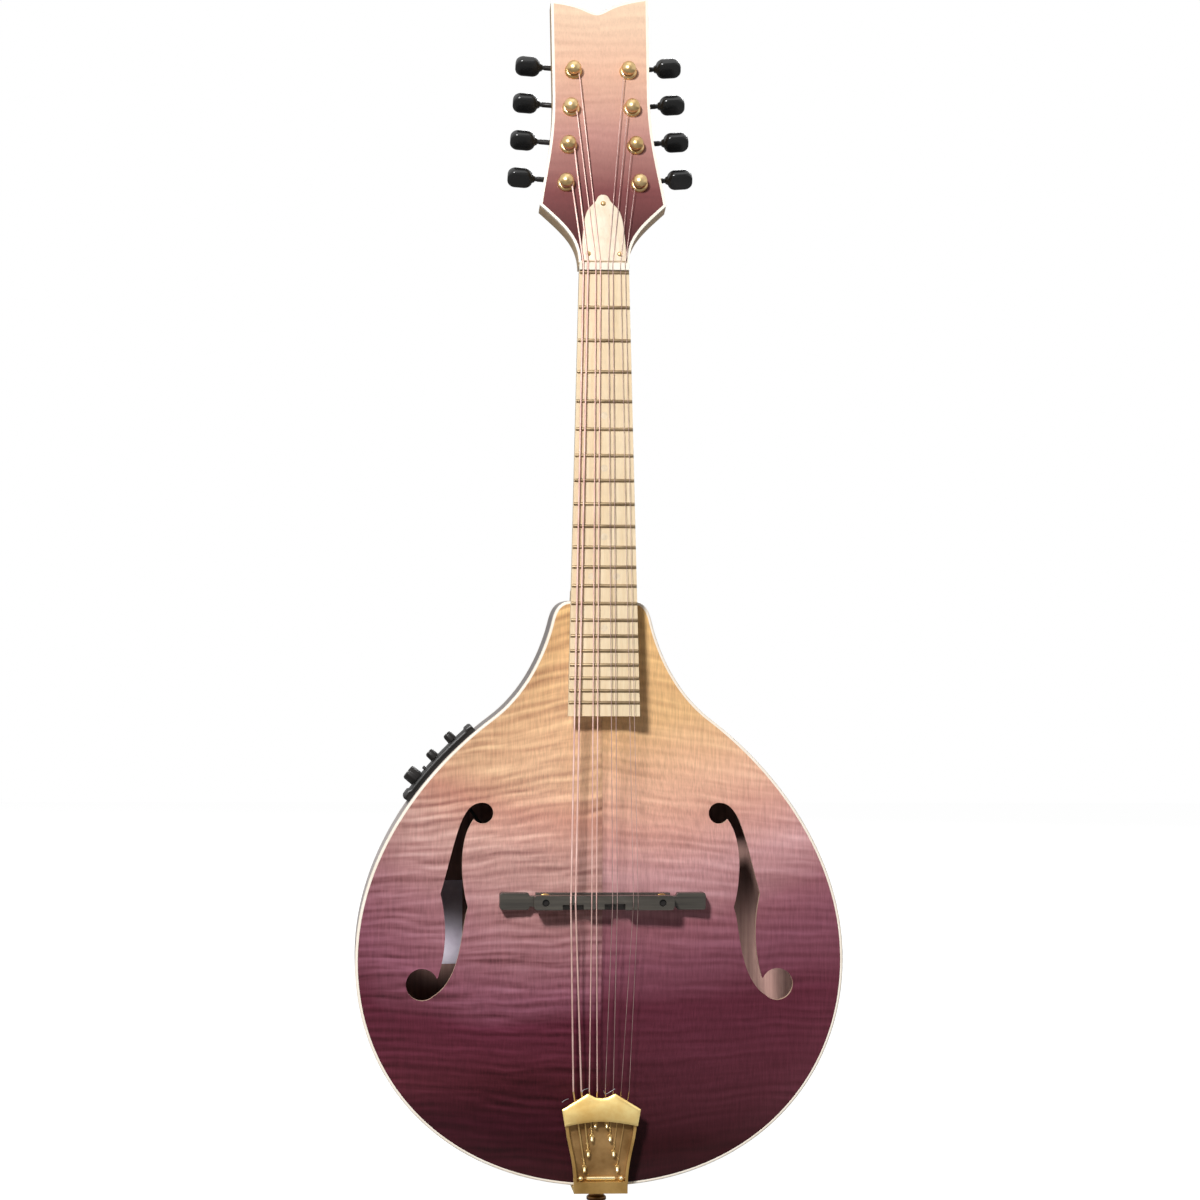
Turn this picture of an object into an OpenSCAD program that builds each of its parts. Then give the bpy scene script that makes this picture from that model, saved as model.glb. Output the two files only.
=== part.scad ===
// Round-bodied mandolin with a carved top, f-holes, zero fret, adjustable bridge and side preamp.
// +Z runs up the neck, -Y faces the player's audience and +X is the treble side.
// The origin is on the end-pin axis, where the body ends, midway between the two plates' edges.

/* [Body] */
// Width of the body across its widest part
body_w = 275; // [262:1:282]
// Length of the body from the tail to the neck joint
body_l = 325.2; // [320:0.5:332]
// Height of the widest part above the tail
widest_z = 126.7; // [118:0.5:134]
// Half width where the shoulder turns hollow
shoulder_x = 61.7; // [56:0.5:66]
// Height where the shoulder turns hollow
shoulder_z = 262.7; // [256:0.5:268]
// Width of the body where the neck joins it
joint_w = 50; // [46:0.5:54]
// Height of the ribs between the two plates
rib_h = 34; // [32:0.5:38]
// Thickness of the ribs
rib_t = 2.3; // [1.8:0.1:3]
// Thickness of both plates at their edge
edge_t = 4; // [3.2:0.1:5]
// Thickness of both plates in the middle
plate_t = 4.6; // [3.5:0.1:6]
// Rise of the carved top above its edge
top_arch = 14; // [12:0.5:15]
// Rise of the carved back above its edge
back_arch = 12; // [8:0.5:15]
// Thickness of the binding round each plate
binding_t = 1.6; // [1.2:0.1:2.2]
// Width of the kerfed linings
lining_t = 4.5; // [3:0.5:6]
// Height of the kerfed linings
lining_h = 7; // [5:0.5:8]
// Width of the tone bars under the top
bar_w = 6; // [4:0.5:8]
// Distance of the tone bars from the centre line
bar_x = 26; // [22:0.5:32]

/* [Sound holes] */
// Radius of the upper eye of each f-hole
upper_eye_r = 5.9; // [5:0.1:6.5]
// Radius of the lower eye of each f-hole
lower_eye_r = 9; // [8:0.1:10]

/* [Neck] */
// Scale length, from the zero fret to the bridge
scale_l = 352; // [348:0.5:356]
// Height of the zero fret above the tail
nut_z = 513; // [508:0.5:518]
// Distance of the fretboard's face behind the origin at the zero fret, a negative value being in front
nut_y = -25.9; // [-27:0.1:-24.5]
// Angle of the neck behind the body's plane
neck_angle = 3.45; // [3.2:0.05:3.8]
// Number of frets above the zero fret
fret_count = 20; // [18:1:22]
// Width of the fretboard at the nut
nut_w = 28; // [27:0.5:30]
// Width of the fretboard at its end
board_end_w = 40.2; // [38:0.5:42]
// Length of the fretboard below the zero fret
board_l = 248.7; // [246:0.5:252]
// Thickness of the fretboard
board_t = 5; // [4:0.5:6]
// Width of a fret's crown
fret_w = 2; // [1.2:0.1:2.4]
// Height of a fret's crown
fret_h = 1.1; // [0.8:0.05:1.3]
// Thickness of the nut along the neck
nut_t = 4; // [3:0.5:5]
// Depth of the neck's wood behind the fretboard at the nut
neck_d = 13; // [11:0.5:15]
// Depth of the neck's wood behind the fretboard at the heel
neck_d_heel = 15.5; // [14:0.5:18]
// Length of the curve from the neck to the heel
heel_l = 34; // [28:1:42]
// Length of the heel's flat foot
heel_flat = 9; // [6:0.5:12]
// Radius of the truss rod
rod_r = 2.5; // [2:0.1:2.8]
// Diameter of the plain marker dots
dot_d = 4; // [3:0.5:5]

/* [Headstock] */
// Angle of the headstock behind the body's plane
head_angle = 15.8; // [14:0.1:17.5]
// Length of the headstock's treble corner above the nut
head_l = 162.8; // [158:0.5:168]
// Half width of the headstock at its tip
tip_x = 27.9; // [26.5:0.1:29.5]
// Half width of the headstock at its ears
ear_x = 35.7; // [34.5:0.1:37]
// Height of the ears above the nut
ear_s = 35.1; // [33:0.5:37]
// Thickness of the headstock behind its veneer
head_t = 12; // [10.5:0.5:13]
// Thickness of the veneer on the headstock
veneer_t = 2; // [1.5:0.1:2.5]
// Length of the truss-rod cover
cover_l = 40; // [36:0.5:43]
// Width of the truss-rod cover at its foot
cover_w = 25; // [22:0.5:26]

/* [Tuners] */
// Distance between neighbouring tuners
tuner_pitch = 23; // [22:0.5:24]
// Height of the lowest tuner post above the nut
post_s = 48; // [47:0.5:49]
// Distance of the lowest tuner post from the centre line
post_x = 20.75; // [20:0.25:21.5]
// Lean of each row of tuners towards the tip
row_angle = 4.27; // [3.5:0.1:4.6]
// Radius of a tuner post
post_r = 3; // [2.6:0.1:3.2]
// Height of a post above the headstock's face
post_h = 10; // [9.5:0.25:14]
// Number of teeth on a tuner's cog
cog_teeth = 14; // [12:1:16]
// Pitch radius of a tuner's cog
cog_r = 6.4; // [6:0.1:6.8]
// Thickness of a tuner's cog
cog_t = 2.5; // [2:0.1:3]
// Pitch radius of a tuner's worm
worm_r = 2.6; // [2.4:0.1:2.8]
// Length of a tuner's worm
worm_l = 8; // [7:0.5:9]
// Play between worm and cog at the pitch line
mesh_play = 0.45; // [0.4:0.05:0.55]
// Radius of a tuner's key shaft
shaft_r = 1.5; // [1.3:0.1:1.7]
// Thickness of the tuner plates
tuner_plate_t = 1.2; // [1:0.1:1.6]
// Distance of a button's middle from its post
button_x = 25.7; // [24:0.1:27]
// Length of a tuner button along its shaft
button_l = 14.2; // [13:0.1:15]
// Width of a tuner button across its shaft
button_w = 11; // [10:0.1:12]
// Thickness of a tuner button
button_t = 6.4; // [5.5:0.1:7.5]

/* [Bridge] */
// Height of the strings at the bridge above the top's edge
string_h = 31; // [30:0.25:32]
// Length of the bridge's base across the body
base_l = 115; // [108:1:120]
// Thickness of the bridge's base along the strings
base_t = 9.4; // [8.5:0.1:10.5]
// Length of the bridge's saddle across the body
saddle_l = 78; // [76:0.5:82]
// Thickness of the bridge's saddle along the strings
saddle_t = 8; // [7:0.1:8.6]
// Height of the bridge's saddle
saddle_h = 7.6; // [7:0.1:8.4]
// Distance between the two adjusting posts
adjuster_w = 65; // [62:0.5:66]
// Radius of the adjusting posts
adjuster_r = 1.9; // [1.6:0.05:2.2]
// Radius of the adjusting wheels
wheel_r = 4.8; // [4.2:0.1:5.5]
// Thickness of the adjusting wheels
wheel_t = 2.2; // [1.8:0.1:2.4]

/* [Tailpiece] */
// Length of the tailpiece above the tail
tailpiece_l = 54; // [50:0.5:58]
// Width of the tailpiece at its crown
crown_w = 44; // [42:0.5:48]
// Width of the tailpiece at the tail
tail_w = 30; // [28:0.5:34]
// Thickness of the tailpiece's metal
casting_t = 2; // [1.6:0.1:2.4]
// Radius of the jack's hole for a plug
plug_r = 3.25; // [3.2:0.01:3.3]
// Radius of the jack's barrel through the tail block
jack_r = 5.6; // [5.2:0.1:6]
// Radius of the end pin's button below the tail
pin_r = 4.9; // [4.6:0.1:5.5]
// Length of the end pin below the tailpiece
pin_l = 9; // [7:0.5:12]

/* [Preamp] */
// Width of the preamp's panel across the ribs
panel_w = 27; // [24:0.5:30]
// Thickness of the preamp's panel
panel_t = 3.5; // [3:0.1:4]
// Diameter of the two small knobs
knob_d = 5.8; // [5.2:0.1:6.4]
// Diameter of the large knob
big_knob_d = 8; // [7:0.1:8.6]
// Height of the small knobs
knob_h = 5.4; // [5:0.1:7]
// Height of the large knob
big_knob_h = 6.4; // [5.6:0.1:7.6]

/* [Strings] */
// Distance between the outer strings at the nut
nut_spread = 23.6; // [22.5:0.1:24.5]
// Distance between the outer strings at the bridge
bridge_spread = 37.4; // [36.5:0.1:38.5]
// Distance between the outer strings at the tailpiece
tail_spread = 31.2; // [30:0.1:32]
// Distance between the two strings of a pair
pair_gap = 2.6; // [2.2:0.1:3]
// Diameters of the four pairs, bass to treble
string_d = [1.0, 0.66, 0.4, 0.3]; // [0.25:0.01:1.1]

/* [Hidden] */

$fn = 32;
shaft_fit = 0.05; // running clearance round every shaft
seat = 0.15; // gap under a piece that seats on a carved plate
play = 0.3; // gap between pieces that move past each other
bass = -1;
treble = 1;

edge_y = rib_h / 2 + edge_t; // the plates' outer edges lie this far each side of the origin
arch_z = 150; // the plates' highest point above the tail
recurve = 0.93; // share of the way out to the edge where the arch ends
recurve_dip = 0.7;

// Curves

function bez(p, t) =
    pow(1 - t, 3) * p[0] + 3 * pow(1 - t, 2) * t * p[1] + 3 * (1 - t) * t * t * p[2]
    + t * t * t * p[3];
function bez_dir(p, t) =
    let (d = (1 - t) * (1 - t) * (p[1] - p[0]) + 2 * (1 - t) * t * (p[2] - p[1])
        + t * t * (p[3] - p[2]))
    d / norm(d);
function curve(p, n, from = 0, to = 1) =
    [for (i = [0:n]) bez(p, from + (to - from) * i / n)];
function shifted(p, n, out, from = 0, to = 1) =
    [for (i = [0:n])
        let (t = from + (to - from) * i / n, d = bez_dir(p, t))
        bez(p, t) + out * [d[1], -d[0]]];
function reversed(list) = [for (i = [len(list) - 1:-1:0]) list[i]];
function mirrored(list) = [for (p = reversed(list)) [-p[0], p[1]]];
function lerp(a, b, t) = a + (b - a) * t;

// The treble half of the body's outline, from the tail to the neck joint
shoulder_dir = [cos(143.1), sin(143.1)];
tail_curve = [[0, 0], [82, 0], [body_w / 2, widest_z - 72], [body_w / 2, widest_z]];
side_curve = [
    [body_w / 2, widest_z],
    [body_w / 2, widest_z + 63],
    [shoulder_x, shoulder_z] - 40.3 * shoulder_dir,
    [shoulder_x, shoulder_z]
];
joint_curve = [
    [shoulder_x, shoulder_z],
    [shoulder_x, shoulder_z] + 26 * shoulder_dir,
    [joint_w / 2 + 6.1, body_l - 19.8],
    [joint_w / 2, body_l]
];
tail_n = 13;
side_n = 14;
joint_n = 6;

// inset is how far the outline lies inside the body's
function half_outline(inset = 0) =
    concat(
        [for (i = [0:tail_n - 1]) shifted(tail_curve, tail_n, -inset)[i]],
        [for (i = [0:side_n - 1]) shifted(side_curve, side_n, -inset)[i]],
        shifted(joint_curve, joint_n, -inset)
    );
function outline(inset = 0) =
    let (half = half_outline(inset))
    concat(half, [for (i = [len(half) - 1:-1:1]) [-half[i][0], half[i][1]]]);

// The carved plates rise from the edge with a shallow dip just inside it
function rise(s, arch) =
    s < recurve
        ? (arch + recurve_dip) * (1 + cos(180 * pow(s / recurve, 1.3))) / 2 - recurve_dip
        : -recurve_dip * (1 - s) / (1 - recurve);
reach = [for (p = half_outline(binding_t)) [atan2(p[1] - arch_z, p[0]), norm(p - [0, arch_z])]];
function share(x, z) =
    norm([x, z - arch_z]) / lookup(atan2(z - arch_z, abs(x)), reach);
// how far the top's outer and inner faces stand in front of the edge at a place
// the top's outer and inner face, as heights in front of its edge
function top_out(x, z) = lookup(share(x, z), out_table);
function top_in(x, z) = lookup(share(x, z), in_table);
function plate_wall(s) = lerp(plate_t, edge_t - recurve_dip, min(1, s / recurve));
outer_rings = [1, 0.965, recurve, 0.84, 0.72, 0.58, 0.42, 0.24];
inner_rings = [1, recurve, 0.8, 0.6, 0.38];
function inner_rise(s, arch) = s >= recurve ? -edge_t : rise(s, arch) - plate_wall(s);
out_table = [for (s = concat([0], reversed(outer_rings))) [s, rise(s, top_arch)]];
in_table = [for (s = concat([0], reversed(inner_rings))) [s, inner_rise(s, top_arch)]];

// Places up the neck: the fretboard's face, the headstock's planes and the nut
board_gap = 1.2; // from the zero fret's middle to the nut
pivot = [nut_y + 1 * cos(neck_angle) + nut_top() * sin(neck_angle),
    nut_z + nut_top() * cos(neck_angle) - 1 * sin(neck_angle)];
function nut_top() = board_gap + nut_t;
function board_y(z) = nut_y + (z - nut_z) * tan(neck_angle);
function under_board_y(z) = board_y(z) + board_t / cos(neck_angle);
function head_y(z, depth) =
    pivot[0] + (z - pivot[1]) * tan(head_angle) + depth / cos(head_angle);
function board_half(down) = lerp(nut_w, board_end_w, down / board_l) / 2;
function fret_down(n) = scale_l * (1 - pow(2, -n / 12));
bridge_z = nut_z - scale_l * cos(neck_angle);

// An outline in X and Z made solid from y0 back to y1
module slab(y0, y1) {
    translate([0, y1, 0])
        rotate([90, 0, 0])
            linear_extrude(height = y1 - y0)
                children();
}

// An outline in Y and Z made solid from x0 to x1
module side_slab(x0, x1) {
    translate([x0, 0, 0])
        rotate([90, 0, 90])
            linear_extrude(height = x1 - x0)
                children();
}

module neck_frame() {
    translate([0, nut_y, nut_z])
        rotate([-neck_angle, 0, 0])
            children();
}

module head_frame() {
    translate([0, pivot[0], pivot[1]])
        rotate([-head_angle, 0, 0])
            children();
}

// A hole or rod through the thickness of whatever frame it is in
module along_y(r, y0, y1) {
    translate([0, y1, 0])
        rotate([90, 0, 0])
            cylinder(r = r, h = y1 - y0);
}

module along_x(r, x0, x1) {
    translate([x0, 0, 0])
        rotate([0, 90, 0])
            cylinder(r = r, h = x1 - x0);
}

// A plain tube along a list of points, with six sides and a ring at each point
function tube_ring(points, i, r) =
    let (a = points[max(0, i - 1)], b = points[min(len(points) - 1, i + 1)],
        d = (b - a) / norm(b - a), side = cross(d, [1, 0, 0]), u = side / norm(side),
        v = cross(d, u))
    [for (k = [0:5]) points[i] + r * (cos(60 * k) * u + sin(60 * k) * v)];
module tube(points, r) {
    last = len(points) - 1;
    polyhedron(
        points = [for (i = [0:last]) each tube_ring(points, i, r)],
        faces = loft_faces(6, last)
    );
}

// Body

// A carved plate as rings of the outline drawn in towards the arch's middle
function ring(line, s, y) =
    [for (p = line) [s * p[0], y, arch_z + s * (p[1] - arch_z)]];
module carved_plate(arch) {
    line = outline(binding_t);
    n = len(line);
    outer_n = len(outer_rings);
    inner_n = len(inner_rings);
    points = concat(
        [for (s = outer_rings) each ring(line, s, -edge_y - rise(s, arch))],
        [for (s = inner_rings) each ring(line, s, -edge_y - inner_rise(s, arch))],
        [[0, -edge_y - arch, arch_z], [0, plate_t - edge_y - arch, arch_z]]
    );
    outer_top = (outer_n + inner_n) * n;
    polyhedron(
        points = points,
        faces = concat(
            [for (i = [0:outer_n - 2], k = [0:n - 1]) each
                quad(i * n + k, i * n + (k + 1) % n, (i + 1) * n + (k + 1) % n, (i + 1) * n + k)],
            [for (k = [0:n - 1]) [(outer_n - 1) * n + k, (outer_n - 1) * n + (k + 1) % n, outer_top]],
            [for (i = [outer_n:outer_n + inner_n - 2], k = [0:n - 1]) each
                quad(i * n + (k + 1) % n, i * n + k, (i + 1) * n + k, (i + 1) * n + (k + 1) % n)],
            [for (k = [0:n - 1]) [(outer_n + inner_n - 1) * n + (k + 1) % n,
                (outer_n + inner_n - 1) * n + k, outer_top + 1]],
            [for (k = [0:n - 1]) each
                quad(outer_n * n + k, outer_n * n + (k + 1) % n, (k + 1) % n, k)]
        )
    );
}
function quad(a, b, c, d) = [[a, b, c], [a, c, d]];
// rings of n points, each running the same way round, closed by a cap at both ends
function loft_faces(n, last) = concat(
    [[for (k = [0:n - 1]) k]],
    [for (i = [0:last - 1], k = [0:n - 1]) each
        quad(n * i + (k + 1) % n, n * i + k, n * (i + 1) + k, n * (i + 1) + (k + 1) % n)],
    [[for (k = [n - 1:-1:0]) n * last + k]]
);

// One f-hole on the treble side, between its two eyes
module f_hole() {
    upper_eye = [66.5, 209.7];
    lower_eye = [100, 113.5];
    outer_nick = [89.9, 164.6];
    inner_nick = [74.7, 157.1];
    upper_top = upper_eye + [0, upper_eye_r];
    lower_end = lower_eye - [0, lower_eye_r];
    translate(upper_eye)
        circle(r = upper_eye_r);
    translate(lower_eye)
        circle(r = lower_eye_r);
    polygon(concat(
        curve([upper_top, [79, upper_top[1]], [81, 196], outer_nick], 8),
        curve([outer_nick, [86.5, 150], [86, 134], [91.2, 117.7]], 6, 1 / 6),
        reversed(curve([inner_nick, [79, 146], [77, 110], lower_end], 8)),
        curve([inner_nick, [79, 172], [80.5, 196], upper_eye + [4, -2.2]], 7, 1 / 7)
    ));
}

module top_plate() {
    color("palevioletred")
        difference() {
            carved_plate(top_arch);
            for (side = [0, 1])
                mirror([side, 0, 0])
                    slab(-edge_y - top_arch - 1, -edge_y + edge_t + 1)
                        f_hole();
        }
}

module back_plate() {
    color("rosybrown")
        mirror([0, 1, 0])
            carved_plate(back_arch);
}

// One rib from the tail's centre seam to the neck's tenon
module rib_shape() {
    outer = half_outline();
    inner = half_outline(rib_t);
    difference() {
        slab(-rib_h / 2, rib_h / 2)
            polygon(concat(
                [[0, 0]],
                [for (i = [1:len(outer) - 1]) outer[i]],
                [[tenon_w / 2, body_l], [tenon_w / 2 + tenon_flare * rib_t / tenon_l, body_l - rib_t]],
                [for (i = [len(inner) - 1:-1:1]) inner[i]],
                [[0, rib_t]]
            ));
        tail_bores();
    }
}

module rib_bass() {
    color("rosybrown")
        difference() {
            mirror([1, 0, 0])
                rib_shape();
            preamp_frame()
                cube([housing_w + 2 * seat, housing_d + 2 * seat, 4 * rib_t], center = true);
        }
}

module rib_treble() {
    color("rosybrown")
        rib_shape();
}

// A kerfed lining: a strip inside the rib, sawn nearly through between every two blocks
kerf = 0.08; // share of a block's length taken by the saw cut on each side
module lining_strip() {
    back = half_outline(rib_t);
    web = half_outline(rib_t + 1.2);
    face = half_outline(rib_t + lining_t);
    last = len(back) - 2;
    polygon(concat(
        [for (i = [1:last]) back[i]],
        [for (i = [last - 1:-1:1]) each [
            lerp(web[i + 1], web[i], kerf), lerp(face[i + 1], face[i], kerf),
            lerp(face[i], face[i + 1], kerf), lerp(web[i], web[i + 1], kerf)]]
    ));
}

module linings() {
    color("tan")
        for (side = [0, 1], back = [0, 1])
            mirror([side, 0, 0])
                mirror([0, back, 0])
                    slab(rib_h / 2 - lining_h, rib_h / 2)
                        difference() {
                            lining_strip();
                            translate([-1, -1])
                                square([block_w / 2 + 1, tail_block_l + 1]);
                            translate([-1, body_l - neck_block_l])
                                square([body_w, neck_block_l]);
                        }
}

module body_binding() {
    color("ivory")
        for (back = [0, 1])
            mirror([0, back, 0])
                slab(edge_y - edge_t, edge_y)
                    difference() {
                        polygon(outline());
                        polygon(outline(binding_t));
                    }
}

tenon_w = 18;
tenon_l = 16;
tenon_flare = 3; // how much wider each side of the dovetail is at its end
block_w = 56;
neck_block_l = 38;
tail_block_l = 20;

module tenon_outline(gap = 0) {
    polygon([
        [-tenon_w / 2 - gap, body_l],
        [-tenon_w / 2 - tenon_flare - gap, body_l - tenon_l - gap],
        [tenon_w / 2 + tenon_flare + gap, body_l - tenon_l - gap],
        [tenon_w / 2 + gap, body_l]
    ]);
}

module neck_block() {
    color("burlywood")
        slab(-rib_h / 2, rib_h / 2)
            difference() {
                intersection() {
                    polygon(outline(rib_t));
                    translate([-block_w / 2, body_l - neck_block_l])
                        square([block_w, neck_block_l - rib_t]);
                }
                tenon_outline();
            }
}

// Holes for the jack and for the tailpiece's two screws
module tail_bores() {
    translate([0, 0, -1])
        cylinder(r = jack_r + seat, h = tail_block_l + 2);
    for (x = [-1, 1])
        translate([x * tail_screw_x, tail_screw_y, -1])
            cylinder(r = 1, h = 16);
}

module tail_block() {
    color("burlywood")
        difference() {
            slab(-rib_h / 2, rib_h / 2)
                intersection() {
                    polygon(outline(rib_t));
                    translate([-block_w / 2, 0])
                        square([block_w, tail_block_l]);
                }
            tail_bores();
        }
}

// Two tone bars, tallest under the bridge, that follow the top's inner face
bar_low = 70;
bar_high = 250;
bar_h = 8;
module tone_bars() {
    color("wheat")
        for (side = [bass, treble])
            side_slab(side * bar_x - bar_w / 2, side * bar_x + bar_w / 2)
                polygon(concat(
                    [for (i = [0:9])
                        let (z = lerp(bar_low, bar_high, i / 9))
                        [seat - edge_y - top_in(bar_x + bar_w / 2, z) + 0.1, z]],
                    [for (i = [9:-1:0])
                        let (z = lerp(bar_low, bar_high, i / 9), h = 1.5 + bar_h * sin(20 * i))
                        [seat - edge_y - top_in(bar_x + bar_w / 2, z) + 0.1 + h, z]]
                ));
}

// Neck

heel_back = rib_h / 2; // the heel's foot meets its cap level with the back plate
heel_half = 17.6;
// A section of the neck: its height, half width, front, depth and how square it is
function heel_section(a) =
    let (z = body_l + heel_flat + heel_l * (1 - cos(a)), front = under_board_y(z),
        full = heel_back - under_board_y(body_l) + 4)
    [z, lerp(heel_half, board_half(nut_z - z) - 0.3, sin(a)), front,
        lerp(full, neck_d_heel, sin(a)), lerp(0.62, 0.95, sin(a))];
function shaft_section(z) =
    let (low = body_l + heel_flat + heel_l, t = (z - low) / (nut_z - low))
    [z, board_half(max(0, nut_z - z)) - 0.3 * (1 - t), under_board_y(z),
        lerp(neck_d_heel, neck_d, t), lerp(0.95, 1, t)];
function head_section(z, depth) =
    [z, nut_w / 2 - 0.2, max(under_board_y(z), head_y(z, veneer_t) + play),
        head_y(z, veneer_t + head_t) - depth - max(under_board_y(z), head_y(z, veneer_t) + play), 1];
neck_sections = concat(
    [[body_l, heel_half, under_board_y(body_l), heel_back - under_board_y(body_l) + 4, 0.5]],
    [for (a = [0, 14, 30, 48, 68, 90]) heel_section(a)],
    [for (i = [1:4]) shaft_section(lerp(body_l + heel_flat + heel_l, nut_z, i / 4))],
    [head_section(pivot[1] + 3, -3), head_section(pivot[1] + 10, -0.6), head_section(pivot[1] + 17, 1)]
);
neck_sides = 14;
function neck_ring(section) =
    [for (k = [0:neck_sides])
        let (a = 180 * k / neck_sides, e = section[4])
        [section[1] * sign(cos(a)) * pow(abs(cos(a)), e),
            min(heel_back, section[2] + section[3] * pow(sin(a), e)), section[0]]];
module neck_shaft() {
    n = neck_sides + 1;
    last = len(neck_sections) - 1;
    polyhedron(
        points = [for (s = neck_sections) each neck_ring(s)],
        faces = loft_faces(n, last)
    );
}

// The headstock's outline: hollow throat, ears, waisted sides and a notched tip
notch = [-1.5, head_l - 9.7];
function head_half(tip_s) = concat(
    curve([[nut_w / 2 + 0.2, 0], [nut_w / 2 + 0.2, 15], [22, ear_s - 13], [ear_x, ear_s]], 7),
    curve([[ear_x, ear_s], [32.5, ear_s + 22], [tip_x - 0.6, ear_s + 40], [tip_x - 0.3, ear_s + 70]], 7,
        1 / 7),
    [[tip_x, tip_s]]
);
module head_outline() {
    polygon(concat(
        head_half(head_l),
        reversed(curve([notch, notch + [5.5, 0.6], notch + [6, 6.2], [tip_x, head_l]], 8, 0, 7 / 8)),
        curve([notch, notch + [-5.5, 0.3], notch + [-7.5, 5.3], [-tip_x, head_l - 2.5]], 8, 1 / 8, 7 / 8),
        mirrored(head_half(head_l - 2.5))
    ));
}

rod_slot_w = 2 * rod_r;
rod_back = board_t + 2 * rod_r; // depth of the rod's slot behind the fretboard's face
pocket_s = 24; // length of the adjuster's pocket in the headstock

// The slot for the truss rod and the pocket for its nut
module rod_slot() {
    neck_frame()
        translate([-rod_slot_w / 2, board_t - 1, -(nut_z - body_l) + 20])
            cube([rod_slot_w, rod_back - board_t + 1, nut_z - body_l - 20]);
    head_frame()
        slab(-1, veneer_t + 7.6)
            translate([-4, 1])
                square([8, pocket_s - 1]);
    neck_frame()
        translate([-rod_slot_w / 2, board_t, -1])
            cube([rod_slot_w, rod_back - board_t, 14]);
}

module neck() {
    color("burlywood")
        difference() {
            union() {
                neck_shaft();
                head_frame()
                    slab(veneer_t, veneer_t + head_t)
                        head_outline();
                slab(-rib_h / 2, rib_h / 2) {
                    tenon_outline();
                    translate([-tenon_w / 2, body_l - 1])
                        square([tenon_w, 2]);
                }
            }
            rod_slot();
            neck_frame()
                translate([-nut_w, -board_t, 0])
                    cube([2 * nut_w, 2 * board_t, nut_top()]);
            each_tuner()
                along_y(bushing_r, -1, veneer_t + head_t + 1);
        }
}

module heel_cap() {
    half = heel_half * 0.82;
    color("ivory")
        slab(heel_back, heel_back + edge_t)
            polygon(concat(
                [[-half, body_l], [half, body_l]],
                [for (a = [10:20:170]) [half * cos(a), body_l + 3 + (heel_flat - 2) * sin(a)]]
            ));
}

// Veneer and its binding, which share the headstock's outline
module head_inner() {
    offset(delta = -1.5)
        head_outline();
    translate([1.5 - nut_w / 2, veneer_foot])
        square([nut_w - 3, 3]);
}
veneer_foot = 0.6; // the veneer starts this far above the nut

module head_veneer() {
    color("thistle")
        head_frame()
            difference() {
                slab(0, veneer_t)
                    head_inner();
                slab(-1, veneer_t + 1)
                    translate([-4, -1])
                        square([8, pocket_s + 1]);
                each_post()
                    along_y(bushing_r, -1, veneer_t + 1);
            }
}

module head_binding() {
    color("ivory")
        head_frame()
            slab(0, veneer_t)
                difference() {
                    head_outline();
                    head_inner();
                    translate([-nut_w, -1])
                        square([2 * nut_w, 1 + veneer_foot]);
                }
}

// Fretboard, frets, markers and nut

module fretboard() {
    color("moccasin")
        neck_frame()
            difference() {
                slab(0, board_t)
                    polygon([
                        [-nut_w / 2, board_gap], [nut_w / 2, board_gap],
                        [board_end_w / 2, -board_l], [-board_end_w / 2, -board_l]
                    ]);
                marker_places()
                    along_y(dot_d / 2, -1, dot_t);
            }
}

// Dots at the middle of a fret's space: pairs at the octave, single ones elsewhere
dot_t = 1;
single_dots = [5, 7, 10, 15];
function fret_space(n) = (fret_down(n) + fret_down(n - 1)) / 2;
module marker_places() {
    for (n = single_dots)
        translate([0, 0, -fret_space(n)])
            children();
    for (side = [bass, treble])
        translate([side * 7, 0, -fret_space(12)])
            children();
}

module fret_markers() {
    color("gainsboro")
        neck_frame()
            marker_places()
                along_y(dot_d / 2, 0, dot_t);
}

module fretboard_riser() {
    low = nut_z - board_l * cos(neck_angle) + 3;
    half = 15;
    steps = 8;
    color("rosybrown")
        side_slab(-half, half)
            polygon(concat(
                [for (i = [0:steps])
                    let (z = lerp(low, body_l, i / steps))
                    [-edge_y - max(0, top_out(0, z)) - seat - 0.3, z]],
                [[under_board_y(body_l), body_l], [under_board_y(low), low]]
            ));
}

module fret(half) {
    side_slab(-half, half)
        polygon([
            [0, -fret_w / 2], [-fret_h * 0.6, -fret_w * 0.42], [-fret_h, -fret_w * 0.15],
            [-fret_h, fret_w * 0.15], [-fret_h * 0.6, fret_w * 0.42], [0, fret_w / 2]
        ]);
}

module frets() {
    color("darkgoldenrod")
        neck_frame()
            for (n = [0:fret_count])
                translate([0, 0, -fret_down(n)])
                    fret(board_half(fret_down(n)) - 0.2);
}

// The nut only spaces the strings, which rest on the zero fret
module nut() {
    color("ivory")
        neck_frame()
            difference() {
                translate([-nut_w / 2, -fret_h - 1.2, board_gap])
                    cube([nut_w, board_t + fret_h + 1.2, nut_t]);
                for (i = [0:7])
                    translate([
                        string_x(i, nut_spread) - string_d[floor(i / 2)] / 2 - 0.1,
                        -fret_h - 2, board_gap - 1
                    ])
                        cube([string_d[floor(i / 2)] + 0.2, 1.9, nut_t + 2]);
            }
}

// Where a string lies across the neck, numbered from the bass side
function string_x(i, spread) =
    let (pair = floor(i / 2), step = (spread - pair_gap) / 3)
    -spread / 2 + pair_gap / 2 + pair * step + (i % 2 - 0.5) * pair_gap;

// Truss rod, its nut and its cover

module truss_rod() {
    color("silver") {
        neck_frame()
            translate([0, board_t + rod_r, -(nut_z - body_l) + 22])
                cylinder(r = rod_r, h = nut_z - body_l - 22 + 9);
        neck_frame()
            translate([0, board_t + rod_r, 9])
                difference() {
                    cylinder(r = 3.4, h = 7, $fn = 6);
                    translate([0, 0, 3])
                        cylinder(r = 1.6, h = 5, $fn = 6);
                }
    }
}

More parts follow.
